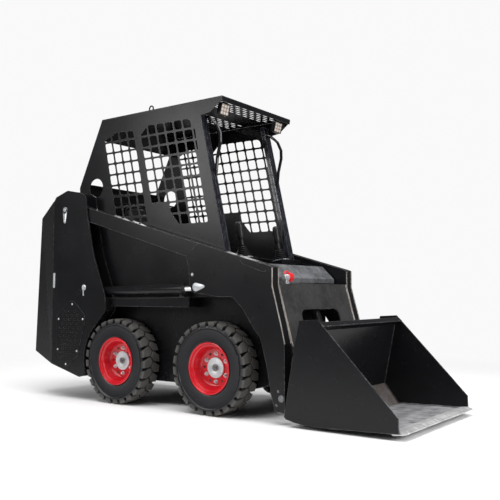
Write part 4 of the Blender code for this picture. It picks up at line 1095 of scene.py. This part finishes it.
def roof_shape():
    """Top sheet with its slots, turned-down lip and sloping header, seen from above and joined."""
    low, high = (np.array(corner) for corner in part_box("cab_roof"))
    top = ROOF_TOP
    front, half = at(0.862), high[1]
    rear = at(-0.259)
    outline = [(rear, -half), (front, -half), (front, half), (rear, half)]
    slots = []
    groups = [(front - 0.055, 6), (at(0.455), 5)]
    for first, rows in groups:
        for row in range(rows):
            shift = 0.5 * (row % 2)
            for place in np.arange(-SLOTS_EACH_SIDE, SLOTS_EACH_SIDE + 1) + shift:
                if abs(place) <= SLOTS_EACH_SIDE:
                    centre = (first - SLOT_ROW_PITCH * row, SLOT_COLUMN_PITCH * place)
                    slots.append(slot_outline(0.058, 0.018, centre, True))
    sheet = punched(outline, slots, ROOF_SHEET, 0.0006)
    points = sheet[0] + (0, 0, top - ROOF_SHEET)
    inner = half - 0.0045
    y = np.array([-inner, inner])
    lip_section = np.array([
        (front - 0.0045, top - 0.002),
        (front - 0.0005, top - 0.002),
        (front - 0.0005, top - 0.036),
        (front - 0.0045, top - 0.036),
    ])
    header = np.array([
        (rear + 0.004, top - 0.003),
        (at(-0.322), 1.893),
        (at(-0.3185), 1.8915),
        (rear + 0.0075, top - 0.0045),
    ])
    bars = []
    for section in (lip_section, header):
        grid = np.empty((2, 4, 3))
        grid[..., 0], grid[..., 2] = section[:, 0], section[:, 1]
        grid[..., 1] = y[:, None]
        bars.append(surface(grid, wrap_columns=True, capped=True))
    return joined((points, sheet[1]), *bars)


def ring_shape(radius, thickness, sides=28, around=12):
    """A torus: a small circle carried round a big one."""
    t = np.linspace(0, 2 * math.pi, around, endpoint=False)
    return lathe(np.stack([radius + thickness * np.cos(t), thickness * np.sin(t)], -1), sides)


EYE_PLACES = [(at(0.210), side * (CAB_HALF - 0.030), ROOF_TOP) for _, side in SIDES]
EYES = [facing(np.add(place, (0, 0, 0.0189)), (0, 1, 0)) for place in EYE_PLACES]
COLLAR = lathe([(0, 0), (0.024, 0), (0.024, 0.002), (0.023, 0.003), (0, 0.003)], 32)
COLLARS = [facing(place, (0, 0, 1)) for place in EYE_PLACES]
EYE_SHAPES = joined(repeated(ring_shape(0.018, 0.005, 40), EYES), repeated(COLLAR, COLLARS))
piece("cab_roof_sheet", joined(roof_shape(), EYE_SHAPES), BLACK_PAINT,
      "chassis", replaces=["cab_roof"], sharp=15)

# %% [markdown]
# ## Work lamps
#
# Each lamp is a shallow square box on a bent bracket. Its face is a frosted lens pressed into
# nine cells, one for each diode, and its back has cooling fins.


# %% Lamp shapes
LAMP_WIDTH, LAMP_HEIGHT, LAMP_DEPTH = 0.092, 0.080, 0.034
LAMP_FRAME = 0.010
CELL_SWELL = 0.0035
FINS = 8


def lens_face():
    """The lens and its mask of cells: a grid that swells three times each way, as sine times sine."""
    u, v = np.meshgrid(np.linspace(0, 1, 31), np.linspace(0, 1, 31), indexing="ij")
    swell = CELL_SWELL * (np.sin(3 * math.pi * u) ** 2 * np.sin(3 * math.pi * v) ** 2) ** 0.5
    up, across = (u - 0.5) * (LAMP_HEIGHT - LAMP_FRAME), (v - 0.5) * (LAMP_WIDTH - LAMP_FRAME)
    points = np.stack([up, across, 0.001 + swell], -1)
    front = surface(points)
    edge = np.concatenate([points[:, 0], points[-1, 1:], points[-2::-1, -1], points[0, -2:0:-1]])
    skirt = np.stack([edge, edge * (1, 1, 0) - (0, 0, 0.003)])
    mask = np.concatenate([(swell / CELL_SWELL).ravel(), np.zeros(3 * len(edge))])
    return joined(front, surface(skirt, wrap_columns=True), (skirt[1], [list(range(len(edge)))])), mask


def rounded_block(width, depth, height, radius):
    """A plate with round corners in XY, from z = 0 down to minus its height, edges softened."""
    corners = np.array([(-1, -1), (1, -1), (1, 1), (-1, 1)]) * (width / 2, depth / 2)
    ring = rounded(corners, radius, 5)
    rows = [(0.965, 0), (1, -0.04), (1, -0.96), (0.965, -1)]
    grid = np.stack([np.column_stack([ring * scale, np.full(len(ring), height * z)]) for scale, z in rows])
    return surface(grid, wrap_columns=True, capped=True)


def lamp_housing():
    """The box, its frame round the lens and eight cooling fins behind."""
    body = rounded_block(LAMP_HEIGHT, LAMP_WIDTH, LAMP_DEPTH * 0.6, 0.010)
    outer = rounded([(-0.5, -0.5), (0.5, -0.5), (0.5, 0.5), (-0.5, 0.5)], 0.1, 5)
    size = np.array([LAMP_HEIGHT, LAMP_WIDTH])
    rings = [(0.001, -0.004), (0.001, 0.0035), (-0.009, 0.0035), (-0.009, -0.002)]
    rows = [np.column_stack([outer * (size + grown), np.full(len(outer), z)]) for grown, z in rings]
    frame_ring = surface(np.stack(rows), wrap_columns=True)
    fin = rounded_block(LAMP_HEIGHT * 0.8, 0.003, LAMP_DEPTH * 0.38, 0.001)
    places = np.tile(np.eye(4), (FINS, 1, 1))
    places[:, 1, 3] = np.linspace(-0.4, 0.4, FINS) * LAMP_WIDTH
    places[:, 2, 3] = -LAMP_DEPTH * 0.58
    return joined(body, frame_ring, repeated(fin, places))


# %% Two lamps
for side_name, side in SIDES:
    low, high = (np.array(corner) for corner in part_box(f"work_light_{side_name}"))
    middle = np.array([low[0] + 0.036, (low[1] + high[1]) / 2, low[2] + 0.046])
    look = np.array((math.cos(-0.26), 0, math.sin(-0.26)))
    set_in_place = facing(middle + 0.018 * look, look, (0, 0, 1))
    ear = ring_shape(0.0085, 0.0022, 20, 8)
    top = middle + (0.004, 0, 0.048)
    strap_path = [top - (0, 0, 0.008), top + (0, 0, 0.004), (top[0] + 0.002, top[1], ROOF_TOP - 0.006)]
    strap = sweep(np.array(strap_path), 0.004, 10)
    foot_place = facing((top[0], top[1], ROOF_TOP - 0.0045), (0, 0, 1))
    foot = moved(rounded_block(0.030, 0.024, 0.003, 0.004), foot_place)
    bracket = joined(moved(ear, facing(top + (0.006, 0, 0.006), (1, 0, 0.2))), strap, foot)
    piece(f"work_light_{side_name}_housing", joined(moved(lamp_housing(), set_in_place), bracket), LAMP_BODY,
          "chassis", replaces=[f"work_light_{side_name}"])
    glass, swell = lens_face()
    piece(f"work_light_{side_name}_lens", moved(glass, set_in_place), LENS, "chassis", sharp=60,
          masks={"swell": swell})

# %% [markdown]
# ## Vent covers, screws and latches
#
# The small cover low on each tower is a separate sheet with rows of staggered slots. White-topped
# screws hold it. On a black machine such small bright things are what the eye uses for scale.

# %% Vent covers
TOWER_FACE = -(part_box("vent_cover_left")[0][1] - 0.0003)
VENT_OUTLINE = [
    (-0.494, 0.222),
    (-0.352, 0.322),
    (-0.350, 0.372),
    (-0.292, 0.560),
    (-0.300, 0.610),
    (-0.410, 0.700),
    (-0.460, 0.706),
    (-0.600, 0.600),
    (-0.606, 0.560),
    (-0.602, 0.330),
    (-0.580, 0.300),
]
VENT_SCREWS = [
    (-0.432, 0.681),
    (-0.580, 0.570),
    (-0.317, 0.575),
    (-0.586, 0.350),
    (-0.376, 0.345),
    (-0.494, 0.247),
]
SLOT_LENGTH, SLOT_WIDTH = 0.034, 0.013
SLOT_STEP, SLOT_ROW = 0.050, 0.030


def vent_slots():
    """Slots on a staggered lattice, kept where they lie well inside the cover's outline."""
    cover = np.array(VENT_OUTLINE)
    slots = []
    for row in range(14):
        height = 0.300 + SLOT_ROW * row
        for column in range(-1, 7):
            centre = np.array((-0.580 + SLOT_STEP * (column + 0.5 * (row % 2)), height))
            ring = slot_outline(SLOT_LENGTH, SLOT_WIDTH, centre)
            reach = slot_outline(SLOT_LENGTH + 0.030, SLOT_WIDTH + 0.034, centre)
            if inside(reach, cover) and min(np.hypot(*(np.array(s) - centre)) for s in VENT_SCREWS) > 0.032:
                slots.append(ring)
    return slots


def inside(points, outline):
    """True if all points are inside a polygon: a ray from each crosses it an odd number of times."""
    a, b = outline, np.roll(outline, -1, 0)
    x, y = points[:, :1], points[:, 1:]
    crosses = (a[:, 1] > y) != (b[:, 1] > y)
    with np.errstate(divide="ignore", invalid="ignore"):
        where = a[:, 0] + (y - a[:, 1]) * (b[:, 0] - a[:, 0]) / (b[:, 1] - a[:, 1])
    return bool((np.sum(crosses & (x < where), 1) % 2 == 1).all())


VENT_SLOTS = vent_slots()
SCREW = button_screw(0.0075, 0.0045)
for side_name, side in SIDES:
    cover = punched(rounded(VENT_OUTLINE, 0.018), VENT_SLOTS, 0.003, 0.0005)
    base = abs(TOWER_FACE) + 0.0003
    piece(f"vent_cover_{side_name}_sheet", seen_from_side(cover, base, side), BLACK_PAINT, "chassis",
          replaces=[f"vent_cover_{side_name}"], sharp=15)
    heads = [facing((at(x), side * (base + 0.003), z), (0, side, 0)) for x, z in VENT_SCREWS]
    piece(f"vent_screws_{side_name}", repeated(SCREW, heads), ZINC, "chassis")
print(len(VENT_SLOTS), "slots in each vent cover")

# %% [markdown]
# ## Pins, lock plates and bolts
#
# Every big pin is kept from turning by a small plated teardrop plate: it fits over the pin's end
# and one bolt holds its tail. The plates are the brightest marks on the arms and the towers.


# %% Lock plates
def teardrop(big, small, reach):
    """Outline of a teardrop along +X: a big round end, a small one, and their outer tangents."""
    lean = math.degrees(math.asin((big - small) / reach))
    return np.concatenate(
        [arc((0, 0), big, 90 - lean, 270 + lean, 20), arc((reach, 0), small, -90 + lean, 90 - lean, 10)]
    )


def lock_plate(big, small, reach):
    """A teardrop plate with its pin's chamfered end and its bolt, lying in XY with its tail at +X."""
    plate = punched(teardrop(big, small, reach), [], 0.004, 0.0008)
    pin_end = lathe([(0, 0), (0.62 * big, 0), (0.62 * big, 0.006), (0.52 * big, 0.0075), (0.22 * big, 0.0075),
                     (0.18 * big, 0.0035), (0, 0.0035)], 32)
    bolt = np.eye(4)
    bolt[:3, 3] = (reach - 0.4 * small, 0, 0.004)
    return joined(plate, pin_end, moved(nut(0.0058, 0.006), bolt))


def on_side(x, z, depth, side, turn=0.0):
    """Matrix for a shape lying on a side face at (station, height), its X turned by an angle from forward."""
    along = (math.cos(turn), 0, math.sin(turn))
    return facing((at(x), side * depth, z), (0, side, 0), along)


ARM_FACE = abs(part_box("lift_arm_right")[0][1])
ARM_INSIDE = abs(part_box("cross_member")[0][1])
for side_name, side in SIDES:
    pivot = lock_plate(0.024, 0.010, 0.088)
    pivot_place = on_side(-0.530, 1.372, abs(TOWER_FACE), side, -math.pi / 2)
    piece(f"pivot_lock_{side_name}", moved(pivot, pivot_place), ZINC, "chassis")
    rod_pin = lock_plate(0.027, 0.009, 0.062)
    small = moved(nut(0.0070, 0.006), on_side(0.695, 0.878, ARM_FACE, side))
    bolts = [(1.352, 0.192), (1.384, 0.150), (1.340, 0.112)]
    dark_bolts = repeated(nut(0.0055, 0.005), [on_side(x, z, ARM_FACE, side) for x, z in bolts])
    bucket_pin = lathe([(0, 0), (0.020, 0), (0.020, 0.002), (0.018, 0.0035), (0, 0.0035)], 32)
    pin_place = on_side(BUCKET_PIVOT[0] - REAR_AXLE[0], BUCKET_PIVOT[2], ARM_FACE, side)
    shapes = joined(moved(rod_pin, on_side(0.727, 0.798, ARM_FACE, side, 0.06)), small)
    piece(f"arm_pin_locks_{side_name}", shapes, ZINC, "lift_arms")
    pin_end = joined(dark_bolts, moved(bucket_pin, pin_place))
    piece(f"bucket_pin_bolts_{side_name}", pin_end, DULL_ZINC, "lift_arms")


# %% Latches
def latch_shapes(side):
    """The latch low on the tower: a dished cup, a stem and the bent tail that a hand turns."""
    cup = lathe([(0, 0), (0.021, 0), (0.021, 0.003), (0.016, 0.0045), (0.013, 0.002), (0, 0.002)], 32)
    stem = lathe([(0, 0), (0.008, 0), (0.008, 0.010), (0.006, 0.012), (0, 0.012)], 20)
    face = abs(TOWER_FACE)
    place = on_side(-0.311, 0.800, face, side)
    tail_path = [
        (at(-0.311), side * (face + 0.0075), 0.795),
        (at(-0.309), side * (face + 0.0082), 0.765),
        (at(-0.309), side * (face + 0.0060), 0.742),
    ]
    return joined(moved(cup, place), moved(stem, place), sweep(np.array(tail_path), 0.0045, 12))


for side_name, side in SIDES:
    piece(f"tower_latch_{side_name}", latch_shapes(side), ZINC, "chassis")
STRIKER_PLACE = facing((at(-0.640), TOWER_FACE - 0.0035, 0.855), (0, -1, 0))
STRIKER = moved(rounded_block(0.110, 0.020, 0.004, 0.006), STRIKER_PLACE)
piece("door_striker", STRIKER, ZINC, "chassis")

# %% [markdown]
# ## Louvres of the rear door
#
# The engine breathes through two columns of pressed louvres in the rear door. Each one is half of a
# long flat ellipsoid that stands out of the sheet. The sheet leans, so its plane is read from the
# frame's own faces: the largest face that looks backwards gives a point and a normal.


# %% Rear door
def rear_sheet():
    """Middle and outward normal of the door's rear face, from its triangles weighted by their area."""
    faces = [face for face in NODES["rear_door"].data.polygons if face.normal.x < -0.9]
    normal = max(faces, key=lambda face: face.area).normal
    flat = [face for face in faces if face.normal.dot(normal) > 0.9999]
    reach = min(np.dot(face.center, -normal) for face in flat)
    outer = [face for face in flat if np.dot(face.center, -normal) < reach + 0.001]
    weights = [face.area for face in outer]
    return np.average([face.center[:] for face in outer], axis=0, weights=weights), np.array(normal)


SHEET_MIDDLE, SHEET_NORMAL = rear_sheet()
SHEET_UP = np.cross(SHEET_NORMAL, (0, 1, 0))
SHEET_UP *= np.sign(SHEET_UP[2])


def on_rear_sheet(across, up):
    """Matrix for a shape on the rear sheet: X up the sheet, Z out of it."""
    return facing(SHEET_MIDDLE + (0, across, 0) + up * SHEET_UP, SHEET_NORMAL, SHEET_UP)


BALL = lathe(arc((0, 0), 1.0, -90, 90, 13), 24)
LOUVRE = moved(BALL, np.diag((0.011, 0.082, 0.007, 1.0)))
LOUVRE_ROWS, LOUVRE_PITCH, LOUVRE_COLUMN = 7, 0.036, 0.115
louvres = [
    on_rear_sheet(across, 0.050 + LOUVRE_PITCH * row)
    for across in (-LOUVRE_COLUMN, LOUVRE_COLUMN)
    for row in range(LOUVRE_ROWS)
]
piece("rear_door_louvres", repeated(LOUVRE, louvres), BLACK_PAINT, "rear_door", sharp=60)

# %% Rear door latch
LATCH_PLATE_HEIGHT = 0.004
latch_plate = rounded_block(0.120, 0.052, LATCH_PLATE_HEIGHT, 0.010)
paddle = moved(rounded_block(0.070, 0.034, 0.006, 0.008), facing((0.015, 0, 0.005), (0, 0, 1), (1, 0, 0)))
key_barrel = moved(lathe([(0, 0), (0.009, 0), (0.009, 0.004), (0.007, 0.005), (0, 0.005)], 24),
                   facing((-0.040, 0, 0), (0, 0, 1), (1, 0, 0)))
raised = on_rear_sheet(-0.300, -0.050)
raised[:3, 3] += LATCH_PLATE_HEIGHT * SHEET_NORMAL
latch = joined(latch_plate, paddle, key_barrel)
piece("rear_door_latch", moved(latch, raised), DULL_ZINC, "rear_door")
print("rear sheet middle", SHEET_MIDDLE.round(4), "normal", SHEET_NORMAL.round(4))

# %% [markdown]
# ## Welds and seams
#
# Plates are joined by beads of weld. A bead is a bar whose radius ripples, once for every drop
# of metal the welder laid down. They run down both sides of the cross member, down the front
# edges of the arms and along the bucket's inner corners.


# %% Weld beads
def plate_line(*points):
    """Weld beads through several points."""
    return joined(*[weld_bead(a, b) for a, b in zip(points, points[1:])])


CROSS_WELD_TOP, CROSS_WELD_FOOT = (at(1.302), 0.815), (at(1.404), 0.450)
arm_welds = []
for _, side in SIDES:
    edge = side * (ARM_INSIDE - 0.002)
    ends = [(x, edge, z) for x, z in (CROSS_WELD_TOP, CROSS_WELD_FOOT)]
    arm_welds.append(weld_bead(*ends, 0.005))
    for y in (ARM_INSIDE + 0.006, ARM_FACE - 0.004):
        front = [(1.3075, 0.910), (1.3075, 0.800), (1.3685, 0.575), (1.3955, 0.465)]
        arm_welds.append(plate_line(*[(at(x), side * y, z) for x, z in front]))
piece("arm_welds", joined(*arm_welds), BARE_EDGE, "lift_arms")

# %% Arm seams
seam_shapes = []
for _, side in SIDES:
    y = side * ARM_FACE
    seam_shapes.append(weld_bead((at(0.736), y, 1.072), (at(0.645), y, 1.000), 0.0022))
    hook = [(1.075, 0.960), (1.095, 0.938), (1.130, 0.925), (1.245, 0.888), (1.268, 0.896)]
    seam_shapes.append(sweep(smooth_path([(at(x), y, z) for x, z in hook], 8), 0.0020, 8))
piece("arm_seams", joined(*seam_shapes), BLACK_PAINT, "lift_arms")

# %% Bucket welds
BUCKET_SIDE_PLATE = 0.008
BUCKET_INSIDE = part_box("bucket_shell")[1][1] - BUCKET_SIDE_PLATE
INNER_CORNER = [(2.050, 0.040), (1.642, 0.030), (1.541, 0.156), (1.620, 0.546)]
bucket_welds = []
for _, side in SIDES:
    y = side * (BUCKET_INSIDE - 0.001)
    bucket_welds.append(plate_line(*[(at(x), y, z) for x, z in INNER_CORNER]))
piece("bucket_welds", joined(*bucket_welds), BUCKET_STEEL, "bucket")

# %% [markdown]
# ## Cylinders and pipes
#
# A hydraulic cylinder is a painted barrel with a gland nut at its mouth, a plated rod, an eye at
# each end and a steel pipe that feeds its far end. Each is turned along its own line.


# %% Cylinder shapes
def between(node_start, node_end, y):
    """Matrix whose Z runs from one pin to the other, in the machine's side plane."""
    start = np.array((node_start[0], y, node_start[1]))
    way = np.array((node_end[0] - node_start[0], 0, node_end[1] - node_start[1]))
    return facing(start, way, (0, 1, 0)), np.linalg.norm(way)


def eye_shape(bore, radius, width):
    """A cylinder's eye: a ring with a square section, its two outer corners cut by 1 mm."""
    half, cut = width / 2, 0.001
    outer = [(radius - cut, -half), (radius, cut - half), (radius, half - cut), (radius - cut, half)]
    return lathe([(bore, -half), *outer, (bore, half)], 40)


def cylinder_parts(radius, length, rod_radius, pin, eye_width, reach, eye_radius, inward):
    """Barrel with gland along +Z from the foot pin, and the rod with its eye at reach."""
    foot = pin + 0.006
    mouth = [
        (rod_radius + 0.0005, foot + 0.020),
        (rod_radius + 0.0005, length),
        (radius - 0.006, length),
        (radius - 0.003, length - 0.003),
        (radius - 0.003, length - 0.012),
        (radius + 0.0030, length - 0.014),
        (radius + 0.0030, length - 0.044),
        (radius, length - 0.047),
        (radius, foot + 0.010),
        (radius - 0.004, foot + 0.004),
        (0.0, foot + 0.004),
    ]
    barrel = lathe([(0.0, foot + 0.020)] + mouth, 48)
    turn = facing((0, 0, 0), (1, 0, 0))
    eye = moved(eye_shape(pin + 0.0005, pin + 0.014, eye_width), turn)
    rod_start, rod_end = foot + 0.020 + inward, reach - 0.7 * eye_radius
    rod = lathe([(0, rod_start), (rod_radius, rod_start), (rod_radius, rod_end), (0, rod_end)], 40)
    end = moved(eye_shape(0.012, eye_radius, eye_width), facing((0, 0, reach), (1, 0, 0)))
    return joined(barrel, eye), joined(rod, end)


def feed_pipe(radius, start, stop, stand_off):
    """A steel pipe beside a barrel, bent down to a port at each end; -Y is away from the barrel."""
    rise = [(0.0, start), (0.6, start), (1.0, start + 0.02), (1.0, stop - 0.02), (0.6, stop), (0.0, stop)]
    path = smooth_path([(0, -radius - share * stand_off, z) for share, z in rise], 6)
    port = lathe([(0, 0), (0.010, 0), (0.010, 0.014), (0, 0.014)], 6)
    ports = [facing((0, -radius + 0.003, z), (0, -1, 0)) for z in (start, stop)]
    return joined(sweep(path, 0.0065, 12), repeated(port, ports))


# %% Lift cylinders
FOOT = (at(-0.360), 0.770)
ROD_PIN = (at(0.727), 0.790)
LIFT = cylinder_parts(0.032, 0.968, 0.018, 0.018, 0.038, 1.0872, 0.030, 0.004)
for side_name, side in SIDES:
    line, _ = between(FOOT, ROD_PIN, side * 0.4548)
    line[:3, :3] = np.stack([(0, 1, 0), np.cross(line[:3, 2], (0, 1, 0)), line[:3, 2]], -1)
    barrel = joined(LIFT[0], feed_pipe(0.032, 0.300, 0.925, 0.022))
    piece(f"lift_cylinder_{side_name}_tube", moved(barrel, line), BLACK_PAINT, f"lift_barrel_{side_name}",
          replaces=[f"lift_cylinder_{side_name}_barrel"])
    piece(f"lift_cylinder_{side_name}_chrome", moved(LIFT[1], line), CHROME, f"lift_rod_{side_name}",
          replaces=[f"lift_cylinder_{side_name}_rod"])

# %% Tilt cylinder
TILT_FOOT = (at(1.255), 0.775)
TILT_PIN = (at(1.440), 0.305)
TILT = cylinder_parts(0.028, 0.400, 0.015, 0.014, 0.048, 0.5051, 0.026, 0.056)
line, _ = between(TILT_FOOT, TILT_PIN, 0.0)
line[:3, :3] = np.stack([(0, 1, 0), np.cross(line[:3, 2], (0, 1, 0)), line[:3, 2]], -1)
piece("tilt_cylinder_tube", moved(TILT[0], line), BLACK_PAINT, "tilt_barrel",
      replaces=["tilt_cylinder_barrel"])
piece("tilt_cylinder_chrome", moved(TILT[1], line), CHROME, "tilt_rod",
      replaces=["tilt_cylinder_rod"])

# %% [markdown]
# ## Controls, coupler and seat
#
# The levers stand in ribbed rubber boots, turned from a profile whose radius ripples as it
# narrows. The quick coupler is capped in red plastic. The seat is upholstery: its cushions are
# blown up a little by cloth simulation, so their sides pull in between the seams.


# %% Levers
def lever_shapes():
    """Boot, lever and grip along +Z: the boot's radius falls with height and ripples six times."""
    s = np.linspace(0, 1, 61)
    boot_radius = 0.054 - 0.034 * s + 0.0050 * np.cos(2 * math.pi * 6 * s) * (1 - 0.3 * s)
    boot = np.stack([boot_radius, 0.004 + 0.082 * s], -1)
    boot = np.concatenate([[(0, 0.003), (boot_radius[0], 0.003)], boot, [(0, boot[-1, 1])]])
    stem = [(0, 0.080), (0.014, 0.080), (0.013, 0.140), (0, 0.140)]
    grip = [(0, 0.128), (0.016, 0.128), (0.0200, 0.136), (0.0215, 0.160), (0.0205, 0.190), (0.0235, 0.220),
            (0.0230, 0.236), (0.0160, 0.247), (0, 0.250)]
    ring = [(0.046, 0.0), (0.062, 0.0), (0.062, 0.003), (0.059, 0.0045), (0.046, 0.0045)]
    return joined(lathe(boot, 36), lathe(stem, 20), lathe(grip, 28)), lathe(ring, 40)


LEVER, BOOT_RING = lever_shapes()
for side_name, side in SIDES:
    low, high = (np.array(corner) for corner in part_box(f"joystick_{side_name}"))
    base = np.array((at(0.900), side * 0.215, 0.9853))
    stood = facing(base, (-math.sin(0.18), 0, math.cos(0.18)), (1, 0, 0))
    piece(f"joystick_{side_name}_boot", moved(LEVER, stood), BOOT, "chassis",
          replaces=[f"joystick_{side_name}"], sharp=50)
    piece(f"joystick_{side_name}_ring", moved(BOOT_RING, stood), ZINC, "chassis")


# %% Coupler
def coupler_shapes():
    """The coupler's silver body and its ribbed red cap, both turned along Y."""
    place = facing((at(1.292), -0.345, 0.856), (0, 1, 0))
    steps = [(0.013, 0), (0.014, 0.002), (0.014, 0.012), (0.017, 0.014), (0.017, 0.030), (0.0195, 0.032)]
    body = lathe([(0, 0), *steps, (0.0195, 0.050), (0, 0.050)], 32)
    t = np.linspace(0, 2 * math.pi, 96, endpoint=False)
    along = np.array([0.046, 0.048, 0.078, 0.082, 0.085])
    radius = np.array([0.024, 0.0275, 0.0275, 0.025, 0.0])
    ribs = 1 + 0.035 * np.cos(24 * t)[None] * np.array([0, 1, 1, 0.4, 0])[:, None]
    points = np.empty((6, 96, 3))
    points[1:, :, 0] = radius[:, None] * ribs * np.cos(t)
    points[1:, :, 1] = radius[:, None] * ribs * np.sin(t)
    points[1:, :, 2] = along[:, None]
    points[0] = (0, 0, 0.046)
    strap_path = [(0.026, 0, 0.060), (0.036, 0, 0.045), (0.034, 0, 0.020), (0.020, 0, 0.008)]
    strap = sweep(smooth_path(strap_path, 8), 0.0035, 10)
    foot = rounded_block(0.040, 0.012, 0.034, 0.003)
    seat_place = facing((at(1.297), -0.3125, 0.850), (0, 0, 1), (0, 1, 0))
    cap = joined(moved(surface(points, wrap_columns=True), place), moved(strap, place))
    return moved(body, place), cap, moved(foot, seat_place)


COUPLER, CAP, COUPLER_FOOT = coupler_shapes()
piece("hydraulic_coupler_body", joined(COUPLER, COUPLER_FOOT), ZINC, "lift_arms")
piece("hydraulic_coupler_cap", CAP, CAP_RED, "lift_arms", replaces=["hydraulic_coupler"])


# %% Seat cushions
PIPING_RADIUS = 0.0035


def cushion_grid(half, count=26, squareness=5.0):
    """A closed soft block: a sphere whose directions are raised to a power, so it fills its box."""
    rows = np.linspace(-math.pi / 2, math.pi / 2, count)
    turns = np.linspace(-math.pi, math.pi, 2 * count, endpoint=False)
    u, v = np.meshgrid(rows, turns, indexing="ij")
    way = np.stack([np.cos(u), np.cos(v), np.sin(v), np.sin(u)])
    level, forward, sideways, upward = np.sign(way) * abs(way) ** (2.0 / squareness)
    points = np.stack([level * forward, level * sideways, upward], -1)
    return surface(points * half, wrap_columns=True)


def puffed(obj, voxel, cap):
    """Fills a pad with air for twenty frames of cloth, then limits how far each point has moved."""
    bpy.context.view_layer.objects.active = obj
    remesh = obj.modifiers.new("even", "REMESH")
    remesh.mode = "VOXEL"
    remesh.voxel_size = voxel
    bpy.ops.object.modifier_apply(modifier=remesh.name)
    rest = np.empty(len(obj.data.vertices) * 3)
    obj.data.vertices.foreach_get("co", rest)
    cloth = obj.modifiers.new("air", "CLOTH")
    cloth.settings.use_pressure = True
    cloth.settings.uniform_pressure_force = 4.0
    cloth.settings.effector_weights.gravity = 0.0
    for step in range(1, 21):
        bpy.context.scene.frame_set(step)
    view = bpy.context.evaluated_depsgraph_get()
    blown = obj.evaluated_get(view).data
    now = np.empty(len(blown.vertices) * 3)
    blown.vertices.foreach_get("co", now)
    obj.modifiers.remove(cloth)
    way = (now - rest).reshape(-1, 3)
    length = np.linalg.norm(way, axis=1)[:, None]
    way *= np.minimum(1.0, cap / np.maximum(length, 1e-9))
    obj.data.vertices.foreach_set("co", rest + way.ravel())
    bpy.context.scene.frame_set(1)
    return obj


def seat_pad(name, node, half, centre, tilt, channels):
    """One cushion: a soft block, puffed, with sewn channels pressed in and piping round its edge."""
    place = facing(centre, (math.sin(tilt), 0, math.cos(tilt)), (math.cos(tilt), 0, -math.sin(tilt)))
    block = cushion_grid(np.array(half) - 0.008)
    pad = piece(name, block, VINYL, "chassis", replaces=[node], sharp=80)
    puffed(pad, 0.0075, 0.010)
    points = np.empty(len(pad.data.vertices) * 3)
    pad.data.vertices.foreach_get("co", points)
    points = points.reshape(-1, 3)
    top = np.clip(points[:, 2] / half[2], 0, 1)
    for channel in channels:
        points[:, 2] -= 0.007 * top * np.exp(-(((points[:, 0] - channel) / 0.006) ** 2))
    points = points @ place[:3, :3].T + place[:3, 3]
    pad.data.vertices.foreach_set("co", points.ravel())
    pad.data.update()
    pad.data.shade_smooth()
    smooth = pad.modifiers.new("finer", "SUBSURF")
    smooth.levels = smooth.render_levels = 1
    t = np.linspace(0, 2 * math.pi, 97)[:-1]
    x = np.sign(np.cos(t)) * abs(np.cos(t)) ** 0.35 * (half[0] - 0.004)
    y = np.sign(np.sin(t)) * abs(np.sin(t)) ** 0.35 * (half[1] - 0.004)
    loop = np.stack([x, y, np.full_like(x, 0.25 * half[2])], -1)
    ring = np.linspace(0, 2 * math.pi, 8, endpoint=False)
    outward = loop * (1, 1, 0)
    outward /= np.linalg.norm(outward, axis=1)[:, None]
    across = np.cos(ring)[None, :, None] * outward[:, None]
    upright = np.sin(ring)[None, :, None] * np.array((0, 0, 1.0))
    tube = loop[:, None] + PIPING_RADIUS * (across + upright)
    piece(f"{name}_piping", moved(surface(tube, True, True), place), GRIP, "chassis")
    return pad


SEAT_LOW, SEAT_HIGH = (np.array(corner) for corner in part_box("seat_cushion"))
seat_half = (SEAT_HIGH - SEAT_LOW) / 2
seat_pad("seat_cushion_pad", "seat_cushion", seat_half, (SEAT_LOW + SEAT_HIGH) / 2, 0.0,
         [0.45 * seat_half[0], -0.05 * seat_half[0], -0.5 * seat_half[0]])
back_half = (0.230, 0.220, 0.055)
BACK_TILT = -0.22
seat_pad("seat_back_pad", "seat_back", back_half, (at(-0.180), 0, 1.190), math.pi / 2 + BACK_TILT,
         [0.09, -0.02, -0.12])
frame_post = sweep(np.array([(at(-0.155), 0, 0.956), (at(-0.155), 0, 1.05)]), 0.028, 20)
piece("seat_back_post", frame_post, BLACK_PAINT, "chassis")

# %% [markdown]
# ## Measures
#
# The finished machine has to fill the same box as the frame it was built on.

# %% Sizes
import json
